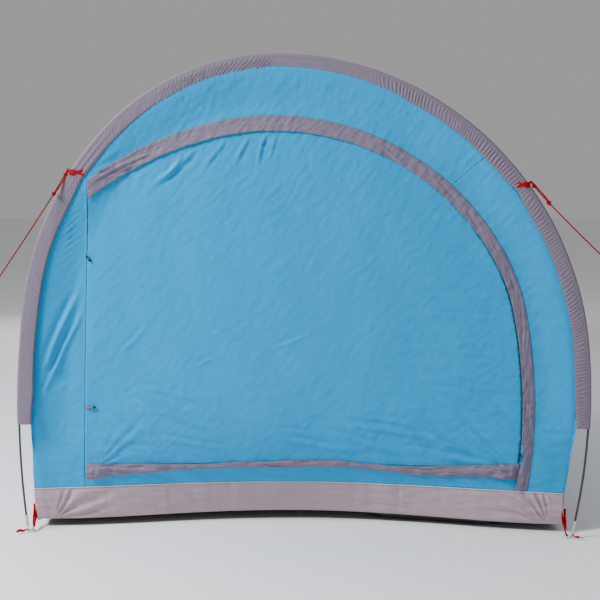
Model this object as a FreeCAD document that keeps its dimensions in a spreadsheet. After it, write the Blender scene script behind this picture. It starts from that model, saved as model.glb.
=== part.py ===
"""Tunnel tent on three bowed pole hoops, with a D-shaped door in its front end wall.

+Z up, +X to the right seen from the front, the front faces -Y. Millimetres.
The origin is on the ground at the middle of the tent's footprint.
"""
import FreeCAD, Part
import math
import os

os.makedirs("parts", exist_ok=True)
doc = FreeCAD.newDocument("tunnel_tent")
Vector = FreeCAD.Vector

# ---------------------------------------------------------------- driving dimensions
SIZES = [
    ("crown_side", -94, "hoop crown, left of the middle"),
    ("crown_height", 1977, "pole centreline at the crown"),
    ("bow_right_a", 1240, "hoop radii and sweeps from the crown to the right foot"),
    ("bow_sweep_right_a", 32.6, ""),
    ("bow_right_b", 1330, ""),
    ("bow_sweep_right_b", 52.6, ""),
    ("bow_right_c", 2530, ""),
    ("bow_sweep_right_c", 22, "past the foot"),
    ("bow_left_a", 966, "hoop radii and sweeps from the crown to the left foot"),
    ("bow_sweep_left_a", 47.3, ""),
    ("bow_left_b", 1289, ""),
    ("bow_sweep_left_b", 34.9, ""),
    ("bow_left_c", 3669, ""),
    ("bow_sweep_left_c", 17, "past the foot"),
    ("hoop_gap", 1600, "from one hoop to the next"),
    ("hoop_count", 3, ""),
    ("pole_radius", 4.75, "fibreglass tube"),
    ("pole_bore", 2.6, ""),
    ("section_count", 7, "pole sections in a hoop"),
    ("section_gap", 1, "between two sections, inside the ferrule"),
    ("ferrule_radius", 5.7, ""),
    ("ferrule_length", 62, ""),
    ("shock_cord_radius", 1.4, ""),
    ("cloth", 1.2, "thickness of every cloth solid"),
    ("sleeve_out", 8, "sleeve edge outside the pole centreline"),
    ("sleeve_in", 58, "sleeve edge inside the pole centreline"),
    ("sleeve_half", 9, "half the sleeve's depth"),
    ("sleeve_hem", 460, "height of the sleeve's open ends"),
    ("canopy_inset", 40, "canopy and tub, inside the pole centreline"),
    ("wall_setback", 53, "end wall, behind its hoop"),
    ("tub_height", 155, ""),
    ("floor_sheet", 1.2, ""),
    ("piping_radius", 1.8, "cord sewn along the top of the tub"),
    ("piping_end", 15, "from its ends to the corners"),
    ("seam_side", -894, "upright seam that the door hangs from"),
    ("hinge_side", -846, "fold line where the opened door hangs"),
    ("door_low", 262, "bottom zip line"),
    ("flap_crown_side", -110, "outer edge of the arched storm flap"),
    ("flap_crown_height", 1738, ""),
    ("flap_right_a", 1091, ""),
    ("flap_sweep_right_a", 62, ""),
    ("flap_right_b", 843, ""),
    ("flap_sweep_right_b", 17.4, ""),
    ("flap_right_c", 2115, ""),
    ("flap_sweep_right_c", 20, "past the tub"),
    ("flap_left_a", 976, ""),
    ("flap_sweep_left_a", 9.8, ""),
    ("flap_left_b", 1518, ""),
    ("flap_sweep_left_b", 28, "past the upright seam"),
    ("flap_width", 50, ""),
    ("flap_stand", 7, "flap, in front of the wall"),
    ("flap_hem", 12, "width of the flap's sewn edge"),
    ("flap_low", 175, "lower end of the arched flap"),
    ("low_flap_height", 66, "flap over the bottom zip"),
    ("low_flap_drop", 30, "how far it hangs below the zip line"),
    ("low_flap_end", 20, "from its right end to the arched zip"),
    ("join_low_side", 545.5, "slanted join of the top and right wall pieces"),
    ("join_low_height", 1350, ""),
    ("join_high_side", 872.8, ""),
    ("join_high_height", 1700, ""),
    ("tape_width", 12, "each half of a zip"),
    ("seam_slit", 1, "gap between the door and the wall"),
    ("slider_width", 9, ""),
    ("slider_length", 14, ""),
    ("slider_depth", 3.2, ""),
    ("slider_round", 1.2, ""),
    ("arch_slider_rise", 70, "arched zip's slider, above the bottom zip"),
    ("low_slider_side", 34, "bottom zip's slider, from the arched zip"),
    ("pull_length", 26, ""),
    ("pull_width", 6, ""),
    ("pull_thick", 1, ""),
    ("pull_hole", 1.3, ""),
    ("toggle_length", 32, ""),
    ("toggle_radius", 4, ""),
    ("toggle_stand", 8.5, "toggle bar's centre, in front of the wall"),
    ("toggle_tape", 10, "width of its tape loop"),
    ("upper_toggle_height", 1150, ""),
    ("upper_toggle_side", 22, "from the upright seam"),
    ("upper_toggle_tilt", -35, "degrees from upright"),
    ("lower_toggle_height", 522, ""),
    ("lower_toggle_side", 26, ""),
    ("lower_toggle_tilt", 75, ""),
    ("webbing", 25, "width of the red webbing"),
    ("webbing_thick", 1.6, ""),
    ("guy_left_height", 1507, "webbing bands on the hoops"),
    ("guy_right_height", 1457, ""),
    ("guy_eye", 10, "outer radius of a band's eye"),
    ("guy_eye_hole", 7, ""),
    ("guy_eye_depth", 12, ""),
    ("rope_radius", 2.6, "guy rope"),
    ("runner_length", 36, ""),
    ("runner_width", 18, ""),
    ("runner_depth", 9, ""),
    ("runner_holes", 9, "between its two holes"),
    ("runner_end", 14, "from the runner to the end knot"),
    ("knot_radius", 6.5, ""),
    ("knot_length", 14, ""),
    ("loop_radius", 12, "end loop"),
    ("loop_near", 26, ""),
    ("loop_far", 90, ""),
    ("ring_radius", 14, ""),
    ("ring_wire", 2, ""),
    ("pin_radius", 2.2, ""),
    ("pin_eye", 4.2, ""),
    ("pin_eye_wire", 1.6, ""),
    ("side_strap", 24, "middle hoop's strap, from its ring's centre"),
    ("peg_length", 52, "webbing tail of a corner"),
    ("peg_start", 9, "from the foot"),
    ("peg_turn", 36.87, "forwards or backwards at an end hoop"),
    ("tip_radius", 6.2, ""),
    ("tip_low", 22, ""),
    ("tip_high", 72, ""),
    ("pole_low", 46, "lower end of the pole, inside its end tip"),
]
ALIASES = {alias for alias, value, note in SIZES}
sheet = doc.addObject("Spreadsheet::Sheet", "sizes")
for row, (alias, value, note) in enumerate(SIZES, 1):
    sheet.set(f"A{row}", alias)
    sheet.set(f"B{row}", str(value))
    sheet.set(f"C{row}", note)
    sheet.setAlias(f"B{row}", alias)
doc.recompute()


def size(alias):
    return float(sheet.get(alias))


CLOTH = size("cloth")
HOOP_GAP = size("hoop_gap")
HOOP_COUNT = int(size("hoop_count"))
LENGTH = HOOP_GAP * (HOOP_COUNT - 1)
HOOP_NAMES = ["front", "middle", "rear"]
SIDES = {"left": -1, "right": 1}
FRONT = -LENGTH / 2    # the front hoop's plane
HOOP_SPOTS = [FRONT + HOOP_GAP * i for i in range(HOOP_COUNT)]
POLE = size("pole_radius")
SETBACK = size("wall_setback")
SHEET = size("floor_sheet")
TUB = size("tub_height")
SEAM = size("seam_side")
HINGE = size("hinge_side")
SLIT = size("seam_slit")
FRONT_FACE = FRONT + SETBACK
TOUCH = 0.4            # gap left between pieces that bear on each other
NEAR = 0.05            # the same between pieces that are sewn together
HINGE_RELIEF = 22.0    # width trimmed from the door's upper hinge corner, so that it clears the flap
FAR = 5000.0           # larger than the tent is wide or high
FRONT_WALL = "sizes.wall_setback - sizes.hoop_gap"
REAR_WALL = "sizes.hoop_gap - sizes.wall_setback - sizes.cloth"
subparts = []


# ---------------------------------------------------------------- arches
class Arch:
    """An arch of tangent arcs in an upright plane, each (centre x, centre z, radius, angle, angle).

    Angles are in radians from +X towards +Z, and fall from the left end to the right end.
    """

    def __init__(self, crown, left, right):
        self.arcs = []
        for side, bows in ((-1, left), (1, right)):
            x, z, turned = crown[0], crown[1], 0.0
            chain = []
            for radius, sweep in bows:
                cx = x - side * radius * math.sin(turned)
                cz = z - radius * math.cos(turned)
                start, turned = turned, turned + math.radians(sweep)
                limits = [math.pi / 2 - side * start, math.pi / 2 - side * turned]
                chain.append([cx, cz, radius, *limits])
                x = cx + side * radius * math.sin(turned)
                z = cz + radius * math.cos(turned)
            if side < 0:
                self.arcs = [[cx, cz, r, b, a] for cx, cz, r, a, b in reversed(chain)]
            else:
                self.arcs += chain

    def clipped(self, inset, low):
        """The arcs moved inwards by inset, with both ends cut at the height low."""
        arcs = [[cx, cz, r - inset, a, b] for cx, cz, r, a, b in self.arcs]
        first, last = arcs[0], arcs[-1]
        first[3] = math.pi - math.asin((low - first[1]) / first[2])
        last[4] = math.asin((low - last[1]) / last[2])
        return arcs

    @staticmethod
    def spot(arc, angle, y=0.0):
        cx, cz, r = arc[:3]
        return Vector(cx + r * math.cos(angle), y, cz + r * math.sin(angle))

    def edges(self, arcs, y=0.0):
        found = []
        for arc in arcs:
            a, b = arc[3], arc[4]
            points = [self.spot(arc, angle, y) for angle in (a, (a + b) / 2, b)]
            found.append(Part.Arc(*points).toShape())
        return found

    def length(self, arcs):
        return sum(r * (a - b) for cx, cz, r, a, b in arcs)

    def part(self, arcs, start, end):
        """The stretch of the arcs between two lengths measured from the left end."""
        found, gone = [], 0.0
        for cx, cz, r, a, b in arcs:
            run = r * (a - b)
            lo, hi = max(start, gone), min(end, gone + run)
            if hi - lo > 1e-6:
                found.append([cx, cz, r, a - (lo - gone) / r, a - (hi - gone) / r])
            gone += run
        return found

    def at_height(self, arcs, height, side):
        """The length from the left end at which the arcs pass a height, on the left or right side."""
        gone, best = 0.0, None
        for arc in arcs:
            cx, cz, r, a, b = arc
            ratio = (height - cz) / r
            if abs(ratio) <= 1:
                angle = math.asin(ratio) if side > 0 else math.pi - math.asin(ratio)
                if b - 1e-9 <= angle <= a + 1e-9:
                    best = gone + r * (a - angle)
            gone += r * (a - b)
        return best

    def frame(self, arcs, reach):
        """Point, forward tangent and inward normal at a length from the left end."""
        gone = 0.0
        for arc in arcs:
            cx, cz, r, a, b = arc
            run = r * (a - b)
            if reach <= gone + run + 1e-6:
                angle = a - (reach - gone) / r
                tangent = Vector(math.sin(angle), 0, -math.cos(angle))
                inward = Vector(-math.cos(angle), 0, -math.sin(angle))
                return self.spot(arc, angle), tangent, inward
            gone += run
        raise ValueError("past the end of the arch")


def bows(prefix, side):
    """The radii and sweeps of one side's arcs, from the crown outwards."""
    letters = [a for a in "abc" if f"{prefix}_{side}_{a}" in ALIASES]
    return [(size(f"{prefix}_{side}_{a}"), size(f"{prefix}_sweep_{side}_{a}")) for a in letters]


hoop = Arch((size("crown_side"), size("crown_height")), bows("bow", "left"), bows("bow", "right"))
flap_crown = (size("flap_crown_side"), size("flap_crown_height"))
flap_arch = Arch(flap_crown, bows("flap", "left"), bows("flap", "right"))


def flap_arcs(inset, low):
    """The door arch moved inwards, from the upright seam round to the height low on the right."""
    arcs = [[cx, cz, r - inset, a, b] for cx, cz, r, a, b in flap_arch.arcs]
    first, last = arcs[0], arcs[-1]
    first[3] = math.acos((SEAM - first[0]) / first[2])
    last[4] = math.asin((low - last[1]) / last[2])
    return arcs


def outline(points_or_edges):
    return Part.Face(Part.Wire(points_or_edges))


def line(start, end):
    return Part.LineSegment(start, end).toShape()


def inside_face(inset, low):
    """Everything inside the hoop, moved inwards, above a height."""
    arcs = hoop.clipped(inset, low)
    edges = hoop.edges(arcs)
    start = hoop.spot(arcs[0], arcs[0][3])
    end = hoop.spot(arcs[-1], arcs[-1][4])
    return outline(edges + [line(end, start)])


def band_face(outer_arcs, inner_arcs, arch):
    """The strip between two rows of arcs of one arch."""
    outer = arch.edges(outer_arcs)
    inner = arch.edges(inner_arcs)
    ends = []
    for side, angle in ((0, 3), (-1, 4)):
        a = arch.spot(outer_arcs[side], outer_arcs[side][angle])
        b = arch.spot(inner_arcs[side], inner_arcs[side][angle])
        ends.append(line(a, b))
    return Part.Face(Part.Wire(Part.__sortEdges__(outer + inner + ends)))


def box(x0, y0, z0, x1, y1, z1):
    return Part.makeBox(x1 - x0, y1 - y0, z1 - z0, Vector(x0, y0, z0))


def tall_box(x0, x1, z0, z1):
    """A block through the whole depth, to keep or remove a rectangle of a flat panel."""
    return box(x0, -FAR, z0, x1, FAR, z1)


# ---------------------------------------------------------------- document objects
def feature(name, shape, place=None):
    """A sub-part whose shape is worked out from the sheet."""
    piece = doc.addObject("Part::Feature", name)
    piece.Shape = shape
    piece.Label = name
    if place is not None:
        piece.Placement = place
    subparts.append(piece)
    return piece


def panel(name, face, depth="sizes.cloth", setback="0"):
    """A flat cloth panel: its cut outline, extruded towards the back by the cloth's thickness."""
    cut = doc.addObject("Part::Feature", name + "_cut")
    cut.Shape = face
    piece = doc.addObject("Part::Extrusion", name)
    piece.Base = cut
    piece.DirMode = "Custom"
    piece.Dir = Vector(0, 1, 0)
    piece.Solid = True
    piece.setExpression("LengthFwd", depth)
    piece.setExpression(".Placement.Base.y", setback)
    piece.Label = name
    subparts.append(piece)
    return piece


def swept(profile, edges):
    return Part.Wire(edges).makePipe(profile)


def ring_face(point, direction, outer, inner=0.0):
    disc = Part.Face(Part.Wire(Part.Circle(point, direction, outer).toShape()))
    if inner:
        disc = disc.cut(Part.Face(Part.Wire(Part.Circle(point, direction, inner).toShape())))
        disc = disc.Faces[0]
    return disc


def tube_on(arcs, outer, inner=0.0):
    """A round bar or tube along a stretch of the hoop."""
    point, tangent, _ = hoop.frame(arcs, 0.0)
    return swept(ring_face(point, tangent, outer, inner), hoop.edges(arcs))


def moved(shapes, y):
    shape = Part.makeCompound(shapes) if isinstance(shapes, list) else shapes.copy()
    shape.translate(Vector(0, y, 0))
    return shape


# ---------------------------------------------------------------- pole hoops
def make_hoops():
    """Each hoop: glass tube sections with steel ferrules on a shock cord, and metal end tips."""
    arcs = hoop.clipped(0, size("pole_low"))
    total = hoop.length(arcs)
    count = int(size("section_count"))
    half_gap = size("section_gap") / 2
    sections, ferrules = [], []
    for i in range(count):
        start = total * i / count + (half_gap if i else 0)
        end = total * (i + 1) / count - (half_gap if i < count - 1 else 0)
        sections.append(tube_on(hoop.part(arcs, start, end), POLE, size("pole_bore")))
        if i:
            half = size("ferrule_length") / 2
            mid = total * i / count
            stretch = hoop.part(arcs, mid - half, mid + half)
            ferrules.append(tube_on(stretch, size("ferrule_radius"), POLE + 0.02))
    cord = tube_on(hoop.part(arcs, 4, total - 4), size("shock_cord_radius"))
    tips = [end_tip(arcs, 0.0), end_tip(arcs, total)]
    for name, y in zip(HOOP_NAMES, HOOP_SPOTS):
        feature(name + "_pole_sections", moved(sections, y))
        feature(name + "_pole_ferrules", moved(ferrules, y))
        feature(name + "_pole_shock_cord", moved(cord, y))
        feature(name + "_pole_end_tips", moved(tips, y))


def end_tip(arcs, reach):
    """A turned metal cup on a pole's end, bored from below for the corner pin."""
    point, tangent, _ = hoop.frame(arcs, reach)
    down = tangent * (-1 if reach == 0 else 1)
    seat = size("pole_low") - size("tip_low")
    above = size("tip_high") - size("pole_low")
    body = Part.makeCylinder(size("tip_radius"), seat + above, point + down * seat, down * -1)
    socket = Part.makeCylinder(POLE + 0.4, above + 1, point, down * -1)
    bore = Part.makeCylinder(size("pin_radius") + 0.4, seat + 1, point + down * (seat + 0.5), down * -1)
    return body.cut(socket).cut(bore)


def make_sleeves():
    """A flat cloth channel along each hoop, open at both lower ends."""
    low, half, out, into = (size(a) for a in ("sleeve_hem", "sleeve_half", "sleeve_out", "sleeve_in"))
    shell = band_face(hoop.clipped(-out, low), hoop.clipped(into, low), hoop)
    core = band_face(hoop.clipped(CLOTH - out, low), hoop.clipped(into - CLOTH, low), hoop)
    shell.translate(Vector(0, -half, 0))
    core.translate(Vector(0, CLOTH - half, 0))
    hollow = core.extrude(Vector(0, 2 * (half - CLOTH), 0))
    channel = shell.extrude(Vector(0, 2 * half, 0)).cut(hollow)
    for name, y in zip(HOOP_NAMES, HOOP_SPOTS):
        feature(name + "_pole_sleeve", moved(channel, y))


# ---------------------------------------------------------------- canopy, tub and floor
def make_canopy():
    """One arched cloth between each pair of hoops, sewn to the tub's side walls."""
    inset = size("canopy_inset")
    face = band_face(hoop.clipped(inset, TUB), hoop.clipped(inset + CLOTH, TUB), hoop)
    depth = "sizes.hoop_gap - 2 * sizes.sleeve_half"
    for i, name in enumerate(["front_bay_canopy", "rear_bay_canopy"]):
        panel(name, face, depth, f"({i} - 1) * sizes.hoop_gap + sizes.sleeve_half")


def make_tub():
    """The groundsheet, its four upturned walls and the piping along the front wall's top."""
    inset = size("canopy_inset")
    sides = band_face(hoop.clipped(inset, SHEET), hoop.clipped(inset + CLOTH, SHEET), hoop)
    reach = LENGTH / 2 - size("sleeve_half")
    sides.translate(Vector(0, -reach, 0))
    strips = sides.extrude(Vector(0, 2 * reach, 0)).common(tall_box(-FAR, FAR, SHEET, TUB))
    left, right = sorted(strips.Solids, key=lambda solid: solid.CenterOfMass.x)
    feature("left_tub_wall", left)
    feature("right_tub_wall", right)
    whole = inside_face(inset + CLOTH + TOUCH, SHEET)
    end = whole.common(tall_box(-FAR, FAR, SHEET, TUB)).Faces[0]
    panel("front_tub_wall", end, setback=FRONT_WALL)
    panel("rear_tub_wall", end, setback=REAR_WALL)
    foot = end.BoundBox
    floor = doc.addObject("Part::Box", "groundsheet")
    floor.setExpression("Height", "sizes.floor_sheet")
    floor.setExpression("Width", "2 * sizes.hoop_gap - 2 * sizes.wall_setback")
    floor.Length = foot.XLength - 2 * TOUCH
    floor.Placement.Base = Vector(foot.XMin + TOUCH, FRONT_FACE, 0)
    floor.Label = "groundsheet"
    subparts.append(floor)
    piping = doc.addObject("Part::Cylinder", "front_tub_piping")
    piping.setExpression("Radius", "sizes.piping_radius")
    piping.Height = foot.XLength - 2 * size("piping_end")
    ahead = FRONT_FACE - size("piping_radius") - NEAR
    start = Vector(foot.XMin + size("piping_end"), ahead, TUB)
    across = FreeCAD.Rotation(Vector(0, 0, 1), Vector(1, 0, 0))
    piping.Placement = FreeCAD.Placement(start, across)
    piping.Label = "front_tub_piping"
    subparts.append(piping)


# ---------------------------------------------------------------- end walls and door
def door_face(inset, low, left=None):
    """The D-shaped outline of the door opening, moved inwards."""
    left = SEAM if left is None else left
    arcs = flap_arcs(inset, low)
    edges = flap_arch.edges(arcs)
    start = flap_arch.spot(arcs[0], arcs[0][3])
    end = flap_arch.spot(arcs[-1], arcs[-1][4])
    corner = Vector(SEAM, 0, low)
    face = outline(edges + [line(end, corner), line(corner, start)])
    return face.common(tall_box(left, FAR, low, FAR)).Faces[0]


def make_end_walls():
    """The front wall's four cloth pieces round the door, the door, and the plain rear wall."""
    whole = inside_face(size("canopy_inset") + CLOTH + TOUCH, TUB)
    low = size("door_low")
    opening = door_face(size("flap_width"), low)
    join_low = Vector(size("join_low_side"), -1, size("join_low_height"))
    join_high = Vector(size("join_high_side"), -1, size("join_high_height"))
    corners = [Vector(FAR, -1, join_high.z), Vector(FAR, -1, -TUB), Vector(join_low.x, -1, -TUB)]
    half_plane = outline(Part.makePolygon([join_low, join_high, *corners, join_low]).Edges)
    right_side = half_plane.extrude(Vector(0, 2, 0))
    surround = whole.cut(opening)
    above = surround.common(tall_box(SEAM, FAR, low, FAR))
    inside = door_face(size("flap_width") + SLIT, low + SLIT)
    strip = inside.common(tall_box(SEAM, HINGE, low, FAR))
    left = whole.common(tall_box(-FAR, SEAM, TUB, FAR)).fuse(strip).removeSplitter()
    panel("front_left_panel", left.Faces[0], setback=FRONT_WALL)
    panel("front_top_panel", above.cut(right_side).Faces[0], setback=FRONT_WALL)
    panel("front_right_panel", above.common(right_side).Faces[0], setback=FRONT_WALL)
    below = surround.common(tall_box(SEAM, FAR, TUB, low))
    panel("front_sill", below.Faces[0], setback=FRONT_WALL)
    panel("rear_wall", whole, setback=REAR_WALL)
    door = door_face(size("flap_width") + SLIT, low + SLIT, HINGE + SLIT)
    corner_top = max(v.Z for v in door.Vertexes if v.X < HINGE + 2 * SLIT) - 2 * SLIT
    relief = tall_box(HINGE, HINGE + HINGE_RELIEF, corner_top, FAR)
    panel("front_door", door.cut(relief).Faces[0], setback=FRONT_WALL)


def zip_corner():
    """Where the arched zip line meets the bottom zip line, on the right."""
    last = flap_arcs(size("flap_width"), size("door_low"))[-1]
    return flap_arch.spot(last, last[4]).x


def make_zips():
    """Both halves of each zip, behind the cloth."""
    low, width, tape = size("door_low"), size("flap_width"), size("tape_width")
    behind = FRONT_WALL + f" + sizes.cloth + {NEAR}"
    above = low + tape + 2 * SLIT
    outer = band_face(flap_arcs(width - tape, low), flap_arcs(width - SLIT / 2, low), flap_arch)
    near, far = width + 1.5 * SLIT, width + SLIT + tape
    inner = band_face(flap_arcs(near, above), flap_arcs(far, above), flap_arch)
    wall_side = outer.common(tall_box(SEAM + SLIT, FAR, 0, FAR)).Faces[0]
    door_side = inner.common(tall_box(HINGE + HINGE_RELIEF, FAR, 0, FAR)).Faces[0]
    panel("arch_zip_wall_tape", wall_side, setback=behind)
    panel("arch_zip_door_tape", door_side, setback=behind)
    strips = {
        "bottom_zip_wall_tape": (low - tape, SEAM + SLIT),
        "bottom_zip_door_tape": (low + 1.5 * SLIT, HINGE + 4 * SLIT),
    }
    for name, (z, start) in strips.items():
        strip = doc.addObject("Part::Box", name)
        strip.Length = zip_corner() - tape - 4 - start
        strip.setExpression("Width", "sizes.cloth")
        strip.setExpression("Height", "sizes.tape_width - sizes.seam_slit / 2")
        strip.Placement.Base = Vector(start, FRONT_FACE + CLOTH + NEAR, z)
        strip.Label = name
        subparts.append(strip)


def make_storm_flaps():
    """The cloth flaps in front of the zips, each sewn along one edge and standing off the wall."""
    low, width, end = size("door_low"), size("flap_width"), size("flap_low")
    stand, hem = size("flap_stand"), size("flap_hem")
    front = FRONT_FACE - stand - CLOTH
    cover = band_face(flap_arcs(0, end), flap_arcs(width - SLIT / 2, end), flap_arch)
    cover = cover.common(tall_box(SEAM + 2 * SLIT, FAR, 0, FAR)).Faces[0]
    cover.translate(Vector(0, front, 0))
    rib = band_face(flap_arcs(0, end), flap_arcs(hem, end), flap_arch)
    rib.translate(Vector(0, front, 0))
    sewn = rib.extrude(Vector(0, stand + CLOTH - NEAR, 0))
    flap = cover.extrude(Vector(0, CLOTH, 0)).fuse(sewn)
    feature("arch_storm_flap", flap.removeSplitter())
    side, stop = HINGE + 10 * SLIT, zip_corner() - size("low_flap_end")
    bottom = low - size("low_flap_drop")
    top = bottom + size("low_flap_height")
    cover = box(side, front, bottom, stop, front + CLOTH, top)
    sewn = box(side, front, top - hem, stop, FRONT_FACE - NEAR, top)
    feature("bottom_storm_flap", cover.fuse(sewn).removeSplitter())


def slider_body(name, centre, turn):
    """A zip slider as a sketched plate with rounded edges, lying flat on the wall."""
    body = doc.addObject("PartDesign::Body", name)
    plane = next(f for f in body.Origin.OriginFeatures if f.Role == "XY_Plane")
    sketch = body.newObject("Sketcher::SketchObject", name + "_outline")
    sketch.AttachmentSupport = [(plane, "")]
    sketch.MapMode = "FlatFace"
    w, n = size("slider_width") / 2, size("slider_length") / 2
    corners = [(-w, n), (w, n), (w * 0.6, -n), (-w * 0.6, -n)]
    for (x0, y0), (x1, y1) in zip(corners, corners[1:] + corners[:1]):
        sketch.addGeometry(Part.LineSegment(Vector(x0, y0, 0), Vector(x1, y1, 0)), False)
    pad = body.newObject("PartDesign::Pad", name + "_plate")
    pad.Profile = sketch
    pad.setExpression("Length", "sizes.slider_depth")
    doc.recompute()
    uprights = [f"Edge{i + 1}" for i, edge in enumerate(pad.Shape.Edges)
                if abs(edge.tangentAt(edge.FirstParameter).z) > 0.99]
    rounded = body.newObject("PartDesign::Fillet", name + "_corners")
    rounded.Base = (pad, uprights)
    rounded.setExpression("Radius", "sizes.slider_round")
    body.Tip = rounded
    stand_up = FreeCAD.Rotation(Vector(1, 0, 0), 90)
    turned = FreeCAD.Rotation(Vector(0, 1, 0), turn)
    body.Placement = FreeCAD.Placement(centre, turned.multiply(stand_up))
    body.Label = name
    subparts.append(body)
    return body


def make_sliders():
    """The two zip sliders, met at the lower right corner, and their pull tabs."""
    low, width = size("door_low"), size("flap_width")
    track = flap_arcs(width - 14, low + size("arch_slider_rise"))[-1]
    spot = flap_arch.spot(track, track[4])
    front = FRONT_FACE - TOUCH
    arch_at = Vector(spot.x, front, spot.z)
    low_at = Vector(zip_corner() - size("low_slider_side"), front, low - 9)
    slider_body("arch_zip_slider", arch_at, -math.degrees(track[4]))
    slider_body("bottom_zip_slider", low_at, 90)
    wide, thick, long = size("pull_width"), size("pull_thick"), size("pull_length")
    tab = Part.makeBox(wide, thick, long, Vector(-wide / 2, -thick, -long))
    eye = Vector(0, -3 * thick, 4 - long)
    tab = tab.cut(Part.makeCylinder(size("pull_hole"), 4 * thick, eye, Vector(0, 1, 0)))
    ahead = Vector(0, -size("slider_depth") - 0.3, 0)
    for name, spot in (("arch_zip_pull", arch_at), ("bottom_zip_pull", low_at)):
        feature(name, tab, FreeCAD.Placement(spot + ahead, FreeCAD.Rotation()))


def make_toggles():
    """Toggle bars on tape loops at the door seam, which tie the rolled door back."""
    half, tape = size("toggle_length") / 2, size("toggle_tape") / 2
    stand = size("toggle_stand")
    for name in ("upper", "lower"):
        side, height = size(name + "_toggle_side"), size(name + "_toggle_height")
        spot = Vector(SEAM + side, FRONT_FACE - stand, height)
        bar = doc.addObject("Part::Cylinder", name + "_toggle_bar")
        bar.setExpression("Radius", "sizes.toggle_radius")
        bar.setExpression("Height", "sizes.toggle_length")
        turn = FreeCAD.Rotation(Vector(0, 1, 0), size(name + "_toggle_tilt"))
        bar.Placement = FreeCAD.Placement(spot - turn.multVec(Vector(0, 0, half)), turn)
        bar.Label = name + "_toggle_bar"
        subparts.append(bar)
        front, back = FRONT_FACE - (stand - size("toggle_radius")) + 0.9, FRONT_FACE - 2 * NEAR
        near, far = SEAM + 8, spot.x + 4
        low, high = height - tape, height + tape
        loop = box(near, front, low, far, back, high)
        gap = box(near + 4, front + 1, low - 1, far - CLOTH, back - 1, high + 1)
        feature(name + "_toggle_loop", loop.cut(gap))


# ---------------------------------------------------------------- corners and guy points
def foot_spot(side):
    arcs = hoop.clipped(0, size("pole_low"))
    point, tangent, _ = hoop.frame(arcs, 0.0 if side < 0 else hoop.length(arcs))
    down = tangent * (-1 if side < 0 else 1)
    return point, down


def make_feet():
    """At each pole foot: a pin in the end tip, a ring on the pin, and red webbing each way."""
    pins, rings, straps, pegs = [], [], [], []
    wire, ring = size("ring_wire"), size("ring_radius")
    eye, eye_wire = size("pin_eye"), size("pin_eye_wire")
    level = eye + eye_wire + 0.1
    web, thick = size("webbing"), size("webbing_thick")
    half = thick + wire + 0.6
    pin_length = size("pole_low") - level - eye - 2
    for y, back in zip(HOOP_SPOTS, (1, 0, -1)):
        for side in SIDES.values():
            top, down = foot_spot(side)
            foot = top + down * ((top.z - level) / -down.z)
            foot = Vector(foot.x, y, level)
            pin = Part.makeCylinder(size("pin_radius"), pin_length, foot - down * (eye - TOUCH), down * -1)
            pins.append(pin.fuse(Part.makeTorus(eye, eye_wire, foot, Vector(0, 1, 0))))
            centre = foot + Vector(-side * ring, 0, 0)
            rings.append(Part.makeTorus(ring, wire, centre, Vector(0, 0, 1)))
            slack = Part.makeTorus(ring, wire + TOUCH, centre, Vector(0, 0, 1))
            reach = SETBACK - 3 if back else size("side_strap")
            turn = 90.0 * back if back else 90.0 + 90.0 * side
            strap = box(ring / 2, -web / 2, level - half, reach, web / 2, level + half)
            strap.rotate(Vector(), Vector(0, 0, 1), turn)
            strap.translate(Vector(centre.x, centre.y, 0))
            straps.append(strap.cut(slack))
            start = size("peg_start")
            peg = box(start, -web / 4, 0.2, start + size("peg_length"), web / 4, 0.2 + 2 * thick)
            away = math.atan2(-back * math.tan(math.radians(size("peg_turn"))), side)
            peg.rotate(Vector(), Vector(0, 0, 1), math.degrees(away))
            peg.translate(Vector(foot.x, foot.y, 0))
            pegs.append(peg)
    feature("foot_pins", Part.makeCompound(pins))
    feature("foot_rings", Part.makeCompound(rings))
    feature("corner_webbing", Part.makeCompound(straps))
    feature("peg_loops", Part.makeCompound(pegs))


def guy_band(name, face):
    """A red webbing band round the sleeve's outer edge, and the eye outside it for the guy rope.

    On an end hoop the band also runs down the sleeve's outward face (-1 front, 1 rear, 0 neither).
    """
    arcs = hoop.clipped(0, size("sleeve_hem"))
    middle = hoop.at_height(arcs, size(f"guy_{name}_height"), SIDES[name])
    half = size("webbing") / 2
    stretch = hoop.part(arcs, middle - half, middle + half)
    thick, deep = size("webbing_thick"), size("sleeve_half")
    base = size("sleeve_out") + TOUCH
    inner = [[cx, cz, r + base, a, b] for cx, cz, r, a, b in stretch]
    outer = [[cx, cz, r + base + thick, a, b] for cx, cz, r, a, b in stretch]
    low = -deep - (TOUCH + thick if face < 0 else 0)
    high = deep + (TOUCH + thick if face > 0 else 0)
    edge = band_face(outer, inner, hoop)
    edge.translate(Vector(0, low, 0))
    band = edge.extrude(Vector(0, high - low, 0))
    if face:
        core = [[cx, cz, r - size("sleeve_in"), a, b] for cx, cz, r, a, b in stretch]
        cover = band_face(outer, core, hoop)
        cover.translate(Vector(0, low if face < 0 else high - thick, 0))
        band = band.fuse(cover.extrude(Vector(0, thick, 0)))
    point, tangent, inward = hoop.frame(arcs, middle)
    radius, depth = size("guy_eye"), size("guy_eye_depth")
    centre = point - inward * (base + radius)
    eye = Part.makeCylinder(radius, depth, centre - tangent * (depth / 2), tangent)
    hole = Part.makeCylinder(size("guy_eye_hole"), 2 * depth, centre - tangent * depth, tangent)
    return band.fuse(eye.cut(hole)), centre


def make_guy_points():
    """Webbing bands at both shoulders of every hoop."""
    for name in SIDES:
        shape, centre = guy_band(name, -1)
        feature(f"front_{name}_guy_loop", moved(shape, FRONT))
        print(f"{name} guy eye at x {centre.x:.0f}, z {centre.z:.0f}")
    for name, y, face in (("middle", HOOP_SPOTS[1], 0), ("rear", HOOP_SPOTS[-1], 1)):
        bands = [guy_band(side, face)[0] for side in SIDES]
        feature(name + "_guy_loops", moved(bands, y))


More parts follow.
